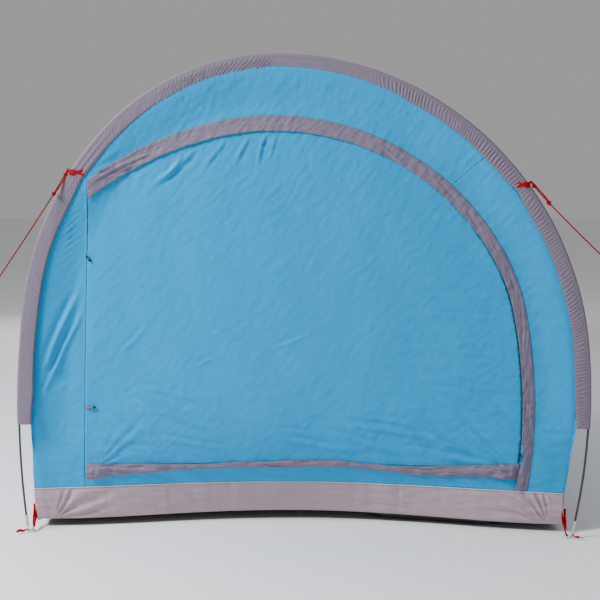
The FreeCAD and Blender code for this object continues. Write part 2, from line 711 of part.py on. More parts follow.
# ---------------------------------------------------------------- guy ropes
LEFT_ROPE = [(-945, -1600, 1517), (-1013, -1634, 1382), (-1257, -1756, 1003)]
RIGHT_ROPE = [(938, -1600, 1468), (1012, -1637, 1370), (1275, -1769, 1110)]


def bent_path(points):
    """Straight runs joined by tangent arcs, each arc as large as its two runs allow."""
    corners = [Vector(*p) for p in points]
    edges, last = [], corners[0]
    for before, here, after in zip(corners, corners[1:], corners[2:]):
        back, on = (before - here), (after - here)
        half_turn = (math.pi - back.getAngle(on)) / 2
        reach = 0.45 * min(back.Length, on.Length)
        radius = reach / math.tan(half_turn)
        print(f"rope arc radius {radius:.0f} mm, turn {math.degrees(2 * half_turn):.1f} degrees")
        start = here + back.normalize() * reach
        end = here + on.normalize() * reach
        middle = (back + on).normalize()
        peak = here + middle * (radius / math.cos(half_turn) - radius)
        edges.append(line(last, start))
        edges.append(Part.Arc(start, peak, end).toShape())
        last = end
    edges.append(line(last, corners[-1]))
    return edges


def make_guy_ropes():
    """The two front guy ropes, pulled tight, each to the loop beyond its runner."""
    radius, runner = size("rope_radius"), size("runner_length")
    wide, deep, gap = size("runner_width"), size("runner_depth"), size("runner_holes")
    block = Part.makeBox(wide, deep, runner, Vector((gap - wide) / 2, -deep / 2, 0))
    for spot in (0, gap):
        hole = Part.makeCylinder(radius + 0.5, 2 * runner, Vector(spot, 0, -runner / 2))
        block = block.cut(hole)
    for name, route in (("left", LEFT_ROPE), ("right", RIGHT_ROPE)):
        edges = bent_path(route)
        start = Vector(*route[0])
        direction = (Vector(*route[1]) - start).normalize()
        rope = swept(ring_face(start, direction, radius), edges)
        length = sum(edge.Length for edge in edges)
        ratio = rope.Volume / (math.pi * radius ** 2 * length)
        print(f"{name} guy rope {length:.0f} mm, volume ratio {ratio:.4f}")
        feature(name + "_guy_rope", rope)
        end = Vector(*route[-1])
        along = (end - Vector(*route[-2])).normalize()
        turn = FreeCAD.Rotation(Vector(0, 0, 1), along)
        near = end - along * (runner + size("runner_end"))
        feature(name + "_rope_runner", block, FreeCAD.Placement(near, turn))
        feature(name + "_rope_end_loop", end_loop(radius), FreeCAD.Placement(end, turn))


def end_loop(radius):
    """A knotted loop of rope for a peg: a long ring beyond a barrel knot."""
    half, near, far = size("loop_radius"), size("loop_near"), size("loop_far")
    knot = Part.makeCylinder(size("knot_radius"), size("knot_length"), Vector(0, 0, 0.1))
    start = Vector(-half, 0, near)
    path = Part.Wire([
        line(start, Vector(-half, 0, far)),
        Part.Arc(Vector(-half, 0, far), Vector(0, 0, far + half), Vector(half, 0, far)).toShape(),
        line(Vector(half, 0, far), Vector(half, 0, near)),
        Part.Arc(Vector(half, 0, near), Vector(0, 0, near - half), start).toShape(),
    ])
    ring = path.makePipe(ring_face(start, Vector(0, 0, 1), radius))
    return knot.fuse(ring)


# ---------------------------------------------------------------- build, check and write
make_hoops()
make_sleeves()
make_canopy()
make_tub()
make_end_walls()
make_zips()
make_storm_flaps()
make_sliders()
make_toggles()
make_feet()
make_guy_points()
make_guy_ropes()
doc.recompute()

for piece in doc.Objects:
    if "Invalid" in piece.State or "Error" in piece.State:
        raise RuntimeError(f"{piece.Name} failed: {piece.State}")
for piece in subparts:
    if piece.Shape.isNull() or not piece.Shape.isValid():
        raise RuntimeError(f"{piece.Label} has no valid shape")
    if not piece.Shape.Solids:
        raise RuntimeError(f"{piece.Label} has no solid")
for piece in subparts:
    piece.Shape.exportStep(f"parts/{piece.Label}.step")
print(len(subparts), "nodes")
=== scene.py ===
"""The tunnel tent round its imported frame: sewn cloth, zips, webbing and guy ropes, in metres."""
import math
import bpy
import numpy as np
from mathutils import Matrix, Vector
from mathutils.geometry import delaunay_2d_cdt


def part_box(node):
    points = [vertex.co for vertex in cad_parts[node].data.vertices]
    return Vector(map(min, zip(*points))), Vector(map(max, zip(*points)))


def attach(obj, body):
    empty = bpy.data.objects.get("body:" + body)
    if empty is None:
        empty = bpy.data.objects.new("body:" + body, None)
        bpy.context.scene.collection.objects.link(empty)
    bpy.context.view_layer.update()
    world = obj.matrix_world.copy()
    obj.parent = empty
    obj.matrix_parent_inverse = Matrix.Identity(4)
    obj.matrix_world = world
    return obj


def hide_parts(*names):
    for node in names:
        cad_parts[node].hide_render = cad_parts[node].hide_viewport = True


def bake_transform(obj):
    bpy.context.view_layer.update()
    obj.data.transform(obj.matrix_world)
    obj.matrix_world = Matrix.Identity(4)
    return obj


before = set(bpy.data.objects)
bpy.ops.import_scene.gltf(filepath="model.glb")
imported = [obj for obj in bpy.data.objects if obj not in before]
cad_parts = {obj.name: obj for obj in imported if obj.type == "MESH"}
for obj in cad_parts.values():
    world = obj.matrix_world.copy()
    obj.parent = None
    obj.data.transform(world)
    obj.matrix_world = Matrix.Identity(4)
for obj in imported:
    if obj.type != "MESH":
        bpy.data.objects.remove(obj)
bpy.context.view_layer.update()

# ---------------------------------------------------------------- driving sizes
HOOP_CROWN = (-0.094, 1.977)
HOOP_LEFT = [(0.966, 47.3), (1.289, 34.9), (3.669, 17.0)]      # radius and sweep from the crown outwards
HOOP_RIGHT = [(1.240, 32.6), (1.330, 52.6), (2.530, 22.0)]
FLAP_CROWN = (-0.110, 1.738)
FLAP_LEFT = [(0.976, 9.8), (1.420, 30.0)]
FLAP_RIGHT = [(1.091, 62.0), (0.843, 17.4), (2.330, 20.0)]
SEAM_X = -0.884                        # upright seam that the door is sewn to
SEAM_LEAN = 0.0360                     # how far the seam leans in a metre of height
DOOR_LOW = 0.262                       # bottom zip line at its two ends
DOOR_RISE = 0.008                      # how much higher it is in the middle
FLAP_WIDTH = 0.056
SLEEVE_HEM = 0.458                     # height of the sleeves' open ends
SLEEVE_WIDTH = 0.058                   # from the pole's centreline to the seam
SEAM_INSET = 0.046                     # end walls and canopies, inside the pole's centreline
TUB_TOP = 0.166                        # at the corners
TUB_RISE = 0.013                       # how much higher the front tub wall is in the middle
CLOTH = 0.0007
WALL_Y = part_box("front_door")[0].y
REAR_WALL_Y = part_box("rear_wall")[1].y
HOOP_Y = [sum(c.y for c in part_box(n + "_pole_sections")) / 2 for n in ("front", "middle", "rear")]
HOOP_NAMES = ["front", "middle", "rear"]
BOW = 0.17                             # the lower wall's middle is set back this far
CAMERA_PLACE = (0.2363, -7.0952, 1.55)
CAMERA_TARGET = (0.006, -1.6, 0.985)   # the middle of the front hoop
HALF_WIDTH = 1.12


# ---------------------------------------------------------------- curves
class Arch:
    """An arch of tangent arcs in an upright plane, from its left end to its right end."""

    def __init__(self, crown, left, right):
        self.arcs = self._chain(crown, left, -1)[::-1] + self._chain(crown, right, 1)
        self.runs = np.array([r * abs(a - b) for _, _, r, a, b in self.arcs])
        self.starts = np.concatenate([[0.0], np.cumsum(self.runs)])

    @staticmethod
    def _chain(crown, bows, side):
        x, z, turned = crown[0], crown[1], 0.0
        found = []
        for radius, sweep in bows:
            cx = x - side * radius * math.sin(turned)
            cz = z - radius * math.cos(turned)
            start, turned = turned, turned + math.radians(sweep)
            ends = [math.pi / 2 - side * start, math.pi / 2 - side * turned]
            found.append((cx, cz, radius, *(ends if side > 0 else ends[::-1])))
            x = cx + side * radius * math.sin(turned)
            z = cz + radius * math.cos(turned)
        return found

    def at(self, reach, inset=0.0):
        """x, z and the inward normal's x, z at lengths along the arch, moved inwards by inset."""
        reach = np.atleast_1d(np.asarray(reach, float))
        inset = np.broadcast_to(inset, reach.shape)
        index = np.clip(np.searchsorted(self.starts, reach, side="right") - 1, 0, len(self.arcs) - 1)
        table = np.array(self.arcs)[index]
        cx, cz, radius, begin = (table[..., k] for k in range(4))
        angle = begin - (reach - self.starts[index]) / radius
        cos, sin = np.cos(angle), np.sin(angle)
        return cx + (radius - inset) * cos, cz + (radius - inset) * sin, -cos, -sin


hoop = Arch(HOOP_CROWN, HOOP_LEFT, HOOP_RIGHT)
flap = Arch(FLAP_CROWN, FLAP_LEFT, FLAP_RIGHT)


def smooth(value, low, high):
    t = np.clip((value - low) / (high - low), 0, 1)
    return t * t * (3 - 2 * t)


# ---------------------------------------------------------------- noise
class Noise:
    """Seeded gradient noise of two variables, evaluated on whole arrays."""

    def __init__(self, seed):
        draw = np.random.default_rng(seed)
        self.order = np.concatenate([draw.permutation(256)] * 2)
        angle = draw.uniform(0, 2 * math.pi, 256)
        self.slopes = np.stack([np.cos(angle), np.sin(angle)], 1)

    def __call__(self, x, y):
        x, y = np.broadcast_arrays(np.asarray(x, float), np.asarray(y, float))
        ix, iy = np.floor(x).astype(int), np.floor(y).astype(int)
        fx, fy = x - ix, y - iy
        ux, uy = fx * fx * fx * (fx * (fx * 6 - 15) + 10), fy * fy * fy * (fy * (fy * 6 - 15) + 10)
        total = 0.0
        for dx in (0, 1):
            for dy in (0, 1):
                corner = self.order[(self.order[(ix + dx) & 255] + iy + dy) & 255]
                slope = self.slopes[corner]
                dot = slope[..., 0] * (fx - dx) + slope[..., 1] * (fy - dy)
                total = total + dot * (ux if dx else 1 - ux) * (uy if dy else 1 - uy)
        return total * 1.5


noise_a, noise_b, noise_c, noise_d = (Noise(seed) for seed in (11, 23, 37, 53))


def crumple(u, v, long, short, angle, sharp=1.0, seed=0.0):
    """Soft creases, long one way and short the other, turned by angle in radians and wandering."""
    cos, sin = math.cos(angle), math.sin(angle)
    along = (u * cos + v * sin) / long + seed
    across = (-u * sin + v * cos) / short + 1.7 * seed
    across = across + 0.55 * noise_b(along * 1.3, across * 0.6)
    along = along + 0.4 * noise_c(along * 0.7 + 5, across * 0.5)
    ridge = 1 - 2 * np.abs(noise_a(along, across)) ** (0.8 / sharp)
    return 0.6 * ridge + 0.4 * noise_d(along * 1.9, across * 1.9)


def stroke(u, v, start, end, width, height):
    """One pulled fold: a rounded ridge along a line, fading at both ends, with a dip beside it."""
    du, dv = end[0] - start[0], end[1] - start[1]
    length = math.hypot(du, dv)
    along = ((u - start[0]) * du + (v - start[1]) * dv) / length ** 2
    across = (-(u - start[0]) * dv + (v - start[1]) * du) / length
    across = across + 0.35 * width * np.sin(along * 5 + start[0] * 9)
    fade = smooth(along, -0.08, 0.25) * (1 - smooth(along, 0.6, 1.1))
    ridge = np.exp(-((across / width) ** 2)) - 0.55 * np.exp(-(((across - 1.6 * width) / (1.2 * width)) ** 2))
    return height * fade * ridge


def fan(u, v, apex, heading, spread, count, reach, height):
    """Folds that radiate from a held corner, as ridges between two headings, dying out at reach."""
    du, dv = u - apex[0], v - apex[1]
    far = np.hypot(du, dv) / reach
    turn = (np.arctan2(dv, du) - heading + math.pi) % (2 * math.pi) - math.pi
    inside = np.exp(-((turn / spread) ** 4))
    waves = np.sin(count * turn + 3 * noise_c(far * 2, turn * 2 + apex[0]))
    return height * inside * smooth(far, 0.0, 0.18) * (1 - smooth(far, 0.4, 1.0)) * waves


# ---------------------------------------------------------------- shared cloth surfaces
FOLDS = [          # start x, z, end x, z, half width and height of the pulled folds in the front wall
    (-1.06, 0.69, -0.91, 1.04, 0.012, 0.0050),
    (-1.03, 0.66, -0.90, 0.94, 0.010, 0.0040),
    (-1.07, 0.58, -0.98, 0.76, 0.010, 0.0025),
    (-0.69, 0.56, -0.39, 0.43, 0.012, 0.0040),
    (-0.65, 0.62, -0.38, 0.54, 0.010, 0.0032),
    (-0.80, 0.49, -0.60, 0.41, 0.008, 0.0022),
    (-0.86, 0.42, -0.66, 0.33, 0.008, 0.0026),
    (-0.85, 0.37, -0.70, 0.30, 0.007, 0.0022),
    (-0.60, 0.40, -0.30, 0.33, 0.009, 0.0022),
    (0.22, 0.46, 0.58, 0.39, 0.011, 0.0042),
    (0.52, 0.42, 0.80, 0.31, 0.010, 0.0042),
    (0.12, 0.43, 0.42, 0.32, 0.010, 0.0032),
    (0.44, 0.36, 0.72, 0.30, 0.008, 0.0026),
    (-0.10, 0.40, 0.25, 0.33, 0.010, 0.0022),
    (0.50, 0.66, 0.86, 0.60, 0.009, 0.0026),
    (0.56, 0.58, 0.87, 0.50, 0.009, 0.0028),
    (0.46, 0.79, 0.85, 0.75, 0.008, 0.0020),
    (0.52, 0.93, 0.84, 0.90, 0.008, 0.0018),
    (0.30, 1.05, 0.62, 0.98, 0.009, 0.0018),
    (-0.42, 1.60, -0.61, 1.44, 0.010, 0.0030),
    (-0.47, 1.58, -0.56, 1.47, 0.007, 0.0022),
    (-0.30, 1.64, -0.38, 1.53, 0.007, 0.0020),
    (-0.20, 1.66, -0.26, 1.54, 0.006, 0.0022),
    (-0.14, 1.66, -0.17, 1.53, 0.006, 0.0024),
    (-0.09, 1.66, -0.12, 1.56, 0.005, 0.0018),
    (-0.36, 0.85, -0.22, 0.81, 0.008, 0.0024),
    (-0.44, 0.70, -0.34, 0.74, 0.006, 0.0018),
    (-0.10, 0.78, 0.05, 0.84, 0.007, 0.0016),
    (-0.74, 0.76, -0.64, 0.86, 0.007, 0.0018),
]


def seam_x(z):
    """The upright seam that the door hangs from, leaning a little."""
    return SEAM_X + SEAM_LEAN * (z - 1.0)


def arched(x):
    """1 in the middle of the front, 0 at its corners."""
    return np.clip(1 - (np.asarray(x, float) / 1.1) ** 2, 0, 1)


def zip_low(x):
    return DOOR_LOW + DOOR_RISE * np.clip(1 - (np.asarray(x, float) / 0.87) ** 2, 0, 1)


def tub_top(x):
    return TUB_TOP + TUB_RISE * arched(x)


def bow(x, z):
    side = np.clip(1 - (x / HALF_WIDTH) ** 2, 0, 1) ** 2
    return np.exp(-((z / 0.28) ** 2)) * (0.03 + BOW * side)


def wrinkles(x, z):
    """Depth of the creases in the front wall, the same for every piece sewn into it."""
    depth = 0.0040 * noise_a(x * 2.1 + 3, z * 1.7) + 0.0034 * noise_b(x * 5.2, z * 4.1)
    low = 1 - smooth(z, 0.35, 0.9)
    right = smooth(x, 0.1, 0.7)
    top = smooth(z, 1.15, 1.5)
    depth = depth + 0.0034 * low * crumple(x, z, 0.20, 0.045, -0.30)
    depth = depth + 0.0028 * right * crumple(x, z, 0.26, 0.040, -0.12, seed=4)
    depth = depth + 0.0017 * crumple(x, z, 0.11, 0.030, 0.75, seed=9)
    depth = depth + 0.0016 * top * crumple(x, z, 0.16, 0.026, 0.95, seed=2)
    depth = depth + 0.0007 * crumple(x, z, 0.05, 0.013, 0.60, seed=12)
    for x0, z0, x1, z1, width, height in FOLDS:
        depth = depth - 2.6 * stroke(x, z, (x0, z0), (x1, z1), width, height)
    pleats = np.exp(-(((x + 0.955) / 0.045) ** 2) - ((z - 1.33) / 0.15) ** 2)
    depth = depth + 0.0038 * pleats * np.sin((x * 0.62 - z * 0.78) * 2 * math.pi / 0.021)
    depth = depth + fan(x, z, (0.90, 0.26), 2.75, 0.5, 24, 0.45, 0.0042)
    depth = depth + fan(x, z, (-0.88, 0.26), 0.35, 0.5, 20, 0.40, 0.0038)
    depth = depth + fan(x, z, (-0.90, 1.49), 0.35, 0.35, 26, 0.30, 0.0034)
    at_seam = np.exp(-(((x - seam_x(z)) / 0.02) ** 2))
    return depth * (1 - 0.6 * at_seam) + 0.0009 * at_seam * noise_c(z * 70, x * 9)


def hoop_inset(z, side):
    """How far inside the pole the cloth is sewn, above and below the end of its sleeve."""
    foot = 1 - smooth(z, 0.03, 0.16)
    left = -0.020 * (1 - smooth(z, 0.12, 0.50)) - 0.004 * foot
    right = 0.006 * (1 - smooth(z, SLEEVE_HEM - 0.12, SLEEVE_HEM)) - 0.020 * foot
    return SEAM_INSET + np.where(np.asarray(side) < 0, left, right)


REACH = hoop.starts[-1]
_table_reach = np.linspace(0, REACH, 6000)
_table_z = hoop.at(_table_reach)[1]


def reach_at(z, side):
    """Length along the hoop at which it passes a height on one side."""
    half = _table_reach < REACH * 0.47 if side < 0 else _table_reach > REACH * 0.47
    reach, height = _table_reach[half], _table_z[half]
    order = np.argsort(height)
    return np.interp(z, height[order], reach[order])


def edge_x(z, side):
    """Where the end walls' outline is at a height on one side."""
    z = np.asarray(z, float)
    reach = reach_at(z, side)
    x, _, nx, nz = hoop.at(reach)
    return x + nx * hoop_inset(z, side)


def edge_near(x, z):
    """1 at the hoop's seam, 0 well inside it."""
    reach = np.linspace(0.3, REACH - 0.3, 160)
    ex, ez, _, _ = hoop.at(reach, SEAM_INSET)
    shape = np.shape(x)
    x, z = np.ravel(x), np.ravel(z)
    gap = np.full(x.shape, 9.0)
    for i in range(0, len(x), 20000):
        part = slice(i, i + 20000)
        gap[part] = np.hypot(x[part, None] - ex[None], z[part, None] - ez[None]).min(1)
    return (1 - smooth(gap, 0.0, 0.16)).reshape(shape)


def wall_y(x, z):
    """Depth of the front wall: near its hoop at the edge, set back in the middle at the ground."""
    above = smooth(z, 0.30, 0.55)
    flat = WALL_Y + 0.03 * (0.25 - z) / 1.7 + bow(x, z)
    near = edge_near(x, z)
    return flat - 0.030 * above * near + wrinkles(x, z) * (1 - 0.9 * smooth(near, 0.75, 1.0))


def rear_y(x, z):
    above = smooth(z, 0.30, 0.55)
    creases = 0.004 * noise_b(x * 2.3 + 7, z * 1.9) + 0.0012 * crumple(x, z, 0.3, 0.06, 0.9, seed=3)
    creases = creases + fan(x, z, (-1.0, 0.2), 0.6, 0.6, 18, 0.5, 0.003)
    creases = creases + fan(x, z, (1.0, 0.2), 2.5, 0.6, 18, 0.5, 0.003)
    flat = REAR_WALL_Y - 0.03 * (0.25 - z) / 1.7 - 0.5 * bow(x, z)
    return flat + 0.030 * above * edge_near(x, z) + creases


def tub_low(x):
    """Height of the front tub wall's lower edge, held off the ground by the corner straps."""
    return 0.024 + 0.010 * np.abs(x / 1.1) ** 4 + 0.016 * arched(x)


def rear_low(x):
    return 0.022 + 0.010 * np.abs(x / 1.1) ** 4


# ---------------------------------------------------------------- meshes
def object_from(name, points, faces, uvs=None):
    mesh = bpy.data.meshes.new(name)
    mesh.from_pydata([tuple(p) for p in points], [], [tuple(f) for f in faces])
    if uvs is not None:
        layer = mesh.uv_layers.new(name="cloth")
        index = np.empty(len(mesh.loops), np.int32)
        mesh.loops.foreach_get("vertex_index", index)
        layer.data.foreach_set("uv", np.asarray(uvs, np.float32)[index].ravel())
    mesh.shade_smooth()
    mesh.update()
    made = bpy.data.objects.new(name, mesh)
    bpy.context.scene.collection.objects.link(made)
    return made


def normals_of(points, faces):
    total = np.zeros_like(points)
    for size in (3, 4):
        chosen = np.array([f for f in faces if len(f) == size])
        if not len(chosen):
            continue
        a, b, c = points[chosen[:, 0]], points[chosen[:, 1]], points[chosen[:, 2]]
        across = np.cross(b - a, c - a)
        for k in range(size):
            np.add.at(total, chosen[:, k], across)
    length = np.linalg.norm(total, axis=1, keepdims=True)
    return total / np.maximum(length, 1e-12)


def thickened(points, faces, thick):
    """Both faces and the cut edges of a cloth whose middle surface is given."""
    normal = normals_of(points, faces)
    count = len(points)
    both = np.concatenate([points + normal * thick / 2, points - normal * thick / 2])
    used = {}
    for face in faces:
        for a, b in zip(face, (*face[1:], face[0])):
            used[(a, b)] = True
    rim = [(a, b) for a, b in used if (b, a) not in used]
    shell = list(map(tuple, faces))
    shell += [tuple(i + count for i in reversed(f)) for f in faces]
    shell += [(b, a, a + count, b + count) for a, b in rim]
    return both, shell


def cloth_from(name, points, faces, uvs, thick=CLOTH):
    points = np.asarray(points, float)
    faces = [tuple(int(i) for i in f) for f in faces]
    both, shell = thickened(points, faces, thick)
    return object_from(name, both, shell, np.concatenate([uvs, uvs]))


def grid_faces(rows, columns, closed=False):
    faces = []
    wrap = columns if closed else columns - 1
    for i in range(rows - 1):
        for j in range(wrap):
            k = (j + 1) % columns
            faces.append((i * columns + j, i * columns + k, (i + 1) * columns + k, (i + 1) * columns + j))
    return faces


def grid_cloth(name, place, u, v, thick=CLOTH):
    """A cloth on a regular grid; place turns arrays of u and v into x, y and z."""
    uu, vv = np.meshgrid(u, v, indexing="ij")
    points = np.stack(np.broadcast_arrays(*place(uu, vv)), -1).reshape(-1, 3)
    faces = grid_faces(len(u), len(v))
    return cloth_from(name, points, faces, np.stack([uu.ravel(), vv.ravel()], 1), thick)


def even(loop, spacing):
    """A closed outline walked at even steps, keeping its corners."""
    loop = np.asarray(loop, float)
    found = []
    for a, b in zip(loop, np.roll(loop, -1, 0)):
        steps = max(1, int(round(math.hypot(*(b - a)) / spacing)))
        found += [a + (b - a) * i / steps for i in range(steps)]
    return np.array(found)


def inside(points, loop):
    """Whether each point is inside a closed outline."""
    x, z = points[:, 0], points[:, 1]
    hit = np.zeros(len(points), bool)
    for (x0, z0), (x1, z1) in zip(loop, np.roll(loop, -1, 0)):
        if z0 == z1:
            continue
        crosses = (z0 > z) != (z1 > z)
        hit ^= crosses & (x < (x1 - x0) * (z - z0) / (z1 - z0) + x0)
    return hit


def patch_cloth(name, loop, spacing, place, thick=CLOTH):
    """A cloth panel cut to a closed outline in a plane, then shaped by place(u, v)."""
    loop = even(loop, spacing)
    low, high = loop.min(0), loop.max(0)
    rows = np.arange(low[1], high[1], spacing * 0.866)
    columns = np.arange(low[0], high[0] + spacing, spacing)
    xx, zz = np.meshgrid(columns, rows)
    xx = xx + (np.arange(len(rows)) % 2)[:, None] * spacing / 2
    points = np.stack([xx.ravel(), zz.ravel()], 1)
    points = points[inside(points, loop)]
    keep = np.ones(len(points), bool)
    for a in loop:
        near = np.abs(points - a).max(1) < spacing
        keep[near] &= np.hypot(*(points[near] - a).T) > spacing * 0.55
    points = points[keep]
    every = np.concatenate([loop, points])
    count = len(loop)
    rim = [(i, (i + 1) % count) for i in range(count)]
    found = delaunay_2d_cdt([Vector(p) for p in every], rim, [], 1, 1e-6)
    flat = np.array([tuple(v) for v in found[0]])
    faces = [tuple(f) for f in found[2]]
    shaped = np.stack(np.broadcast_arrays(*place(flat[:, 0], flat[:, 1])), -1)
    return cloth_from(name, shaped, faces, flat, thick)


def on_wall(lift=0.0):
    def place(x, z):
        return x, wall_y(x, z) - lift, z
    return place


def swept_tube(name, path, radius, sides=10, twist=0.0, ridge=0.0, closed=False):
    """A round cord along a path of points, with twisted strands when ridge isn't 0."""
    path = np.asarray(path, float)
    ahead = np.roll(path, -1, 0) - np.roll(path, 1, 0)
    if not closed:
        ahead[0], ahead[-1] = path[1] - path[0], path[-1] - path[-2]
    ahead /= np.linalg.norm(ahead, axis=1, keepdims=True)
    up = np.array([0.0, 0.0, 1.0]) if abs(ahead[0][2]) < 0.9 else np.array([1.0, 0.0, 0.0])
    side = np.empty_like(path)
    for i, step in enumerate(ahead):
        across = up - step * (up @ step)
        up = across / np.linalg.norm(across)
        side[i] = up
    other = np.cross(ahead, side)
    run = np.concatenate([[0.0], np.cumsum(np.linalg.norm(np.diff(path, axis=0), axis=1))])
    angle = np.arange(sides) / sides * 2 * math.pi
    turn = angle[None] + twist * run[:, None]
    size = radius * (1 - ridge + ridge * np.abs(np.cos(1.5 * angle))[None])
    points = path[:, None] + size[..., None] * (
        np.cos(turn)[..., None] * side[:, None] + np.sin(turn)[..., None] * other[:, None])
    rows = len(path)
    faces = grid_faces(rows, sides, closed=True)
    if closed:
        last = (rows - 1) * sides
        faces += [(last + j, last + (j + 1) % sides, (j + 1) % sides, j) for j in range(sides)]
    else:
        faces += [tuple(reversed(range(sides))), tuple(range((rows - 1) * sides, rows * sides))]
    uvs = np.stack([np.repeat(run, sides), np.tile(angle / (2 * math.pi) * 0.0126, rows)], 1)
    return object_from(name, points.reshape(-1, 3), faces, uvs)


def ribbon(name, path, across, width, thick=0.0012):
    """Flat webbing or tape along a path; across gives its width's direction at each point."""
    path, across = np.asarray(path, float), np.asarray(across, float)
    across = np.broadcast_to(across, path.shape)
    across = across / np.linalg.norm(across, axis=1, keepdims=True)
    width = np.broadcast_to(np.asarray(width, float), len(path))
    offsets = np.linspace(-0.5, 0.5, 5)
    points = path[:, None] + (offsets[None] * width[:, None])[..., None] * across[:, None]
    run = np.concatenate([[0.0], np.cumsum(np.linalg.norm(np.diff(path, axis=0), axis=1))])
    uvs = np.stack([np.repeat(run, 5), (offsets[None] * width[:, None]).ravel()], 1)
    return cloth_from(name, points.reshape(-1, 3), grid_faces(len(path), 5), uvs, thick)


def curve_through(points, count=60):
    """Points on a smooth line through a few places."""
    points = np.asarray(points, float)
    gaps = np.concatenate([[0.0], np.cumsum(np.linalg.norm(np.diff(points, axis=0), axis=1))])
    slopes = np.gradient(points, gaps, axis=0)
    at = np.linspace(0, gaps[-1], count)
    i = np.clip(np.searchsorted(gaps, at, side="right") - 1, 0, len(gaps) - 2)
    h = (gaps[i + 1] - gaps[i])[:, None]
    t = ((at - gaps[i]) / h[:, 0])[:, None]
    return ((2 * t**3 - 3 * t**2 + 1) * points[i] + (t**3 - 2 * t**2 + t) * h * slopes[i]
            + (-2 * t**3 + 3 * t**2) * points[i + 1] + (t**3 - t**2) * h * slopes[i + 1])


def merged(name, pieces):
    """One object from several, with the first one's name dropped."""
    points, faces, uvs = [], [], []
    for piece in pieces:
        start = len(points)
        mesh = piece.data
        points += [tuple(v.co) for v in mesh.vertices]
        faces += [tuple(start + i for i in p.vertices) for p in mesh.polygons]
        found = np.zeros((len(mesh.vertices), 2))
        if mesh.uv_layers:
            index = np.empty(len(mesh.loops), np.int32)
            mesh.loops.foreach_get("vertex_index", index)
            flat = np.empty(len(mesh.loops) * 2, np.float32)
            mesh.uv_layers[0].data.foreach_get("uv", flat)
            found[index] = flat.reshape(-1, 2)
        uvs += list(found)
        bpy.data.objects.remove(piece)
    return object_from(name, points, faces, uvs)


def dashes(name, paths, lift=0.0006, pitch=0.0052, long=0.0036, wide=0.0009):
    """Rows of stitches: a small raised dash of thread at every pitch along each path."""
    points, faces = [], []
    for path, out in paths:
        path, out = np.asarray(path, float), np.asarray(out, float)
        out = np.broadcast_to(out, path.shape)
        run = np.concatenate([[0.0], np.cumsum(np.linalg.norm(np.diff(path, axis=0), axis=1))])
        at = np.arange(pitch / 2, run[-1], pitch)
        middle = np.stack([np.interp(at, run, path[:, k]) for k in range(3)], 1)
        ahead = np.stack([np.interp(at + 0.001, run, path[:, k]) for k in range(3)], 1)
        behind = np.stack([np.interp(at - 0.001, run, path[:, k]) for k in range(3)], 1)
        along = ahead - behind
        along /= np.maximum(np.linalg.norm(along, axis=1, keepdims=True), 1e-9)
        up = np.stack([np.interp(at, run, out[:, k]) for k in range(3)], 1)
        up /= np.linalg.norm(up, axis=1, keepdims=True)
        across = np.cross(along, up)
        for m, a, s, n in zip(middle, along, across, up):
            i = len(points)
            points += [m - a * long / 2, m + s * wide / 2 + n * lift * 0.4, m + a * long / 2,
                       m - s * wide / 2 + n * lift * 0.4, m + n * lift, m - n * lift * 0.3]
            faces += [(i, i + 1, i + 4), (i + 1, i + 2, i + 4), (i + 2, i + 3, i + 4), (i + 3, i, i + 4),
                      (i + 1, i, i + 5), (i + 2, i + 1, i + 5), (i + 3, i + 2, i + 5), (i, i + 3, i + 5)]
    return object_from(name, points, faces)


# ---------------------------------------------------------------- materials
def linked(tree, kind, **values):
    node = tree.nodes.new(kind)
    for key, value in values.items():
        node.inputs[key.replace("_", " ")].default_value = value
    return node


def finish_material(name, colour, rough, metal=0.0, sheen=0.0, coat=0.0, weave=0.0, crease=0.0, grain=0.0,
                    specular=0.2):
    """A plain-coloured material with woven threads, fine creases or grain in its surface.

    weave is the thread pitch, crease and grain the sizes of the marks, all in metres.
    """
    made = bpy.data.materials.new(name)
    made.use_nodes = True
    tree = made.node_tree
    shader = tree.nodes["Principled BSDF"]
    shader.inputs["Base Color"].default_value = (*colour, 1)
    shader.inputs["Roughness"].default_value = rough
    shader.inputs["Metallic"].default_value = metal
    shader.inputs["Specular IOR Level"].default_value = 0.5 if metal or coat else specular
    shader.inputs["Sheen Weight"].default_value = sheen
    shader.inputs["Sheen Roughness"].default_value = 0.4
    shader.inputs["Coat Weight"].default_value = coat
    where = tree.nodes.new("ShaderNodeTexCoord")
    last = None

    def add_bump(height, distance):
        nonlocal last
        bump = linked(tree, "ShaderNodeBump", Strength=1.0, Distance=distance)
        tree.links.new(height, bump.inputs["Height"])
        if last:
            tree.links.new(last.outputs["Normal"], bump.inputs["Normal"])
        last = bump

    if weave:
        bands = []
        for direction in ("X", "Y"):
            wave = linked(tree, "ShaderNodeTexWave", Scale=0.314 / weave, Distortion=0.4, Detail=0.0)
            wave.bands_direction = direction
            tree.links.new(where.outputs["UV"], wave.inputs["Vector"])
            bands.append(wave)
        mix = tree.nodes.new("ShaderNodeMath")
        mix.operation = "MAXIMUM"
        tree.links.new(bands[0].outputs["Fac"], mix.inputs[0])
        tree.links.new(bands[1].outputs["Fac"], mix.inputs[1])
        add_bump(mix.outputs[0], weave * 0.06)
    if crease:
        noise = linked(tree, "ShaderNodeTexNoise", Scale=1 / crease, Detail=3.0, Roughness=0.55,
                       Distortion=0.8)
        tree.links.new(where.outputs["Object"], noise.inputs["Vector"])
        add_bump(noise.outputs["Fac"], crease * 0.03)
    if grain:
        noise = linked(tree, "ShaderNodeTexNoise", Scale=1 / grain, Detail=2.0)
        tree.links.new(where.outputs["Object"], noise.inputs["Vector"])
        add_bump(noise.outputs["Fac"], grain * 0.05)
    if last:
        tree.links.new(last.outputs["Normal"], shader.inputs["Normal"])
    return made


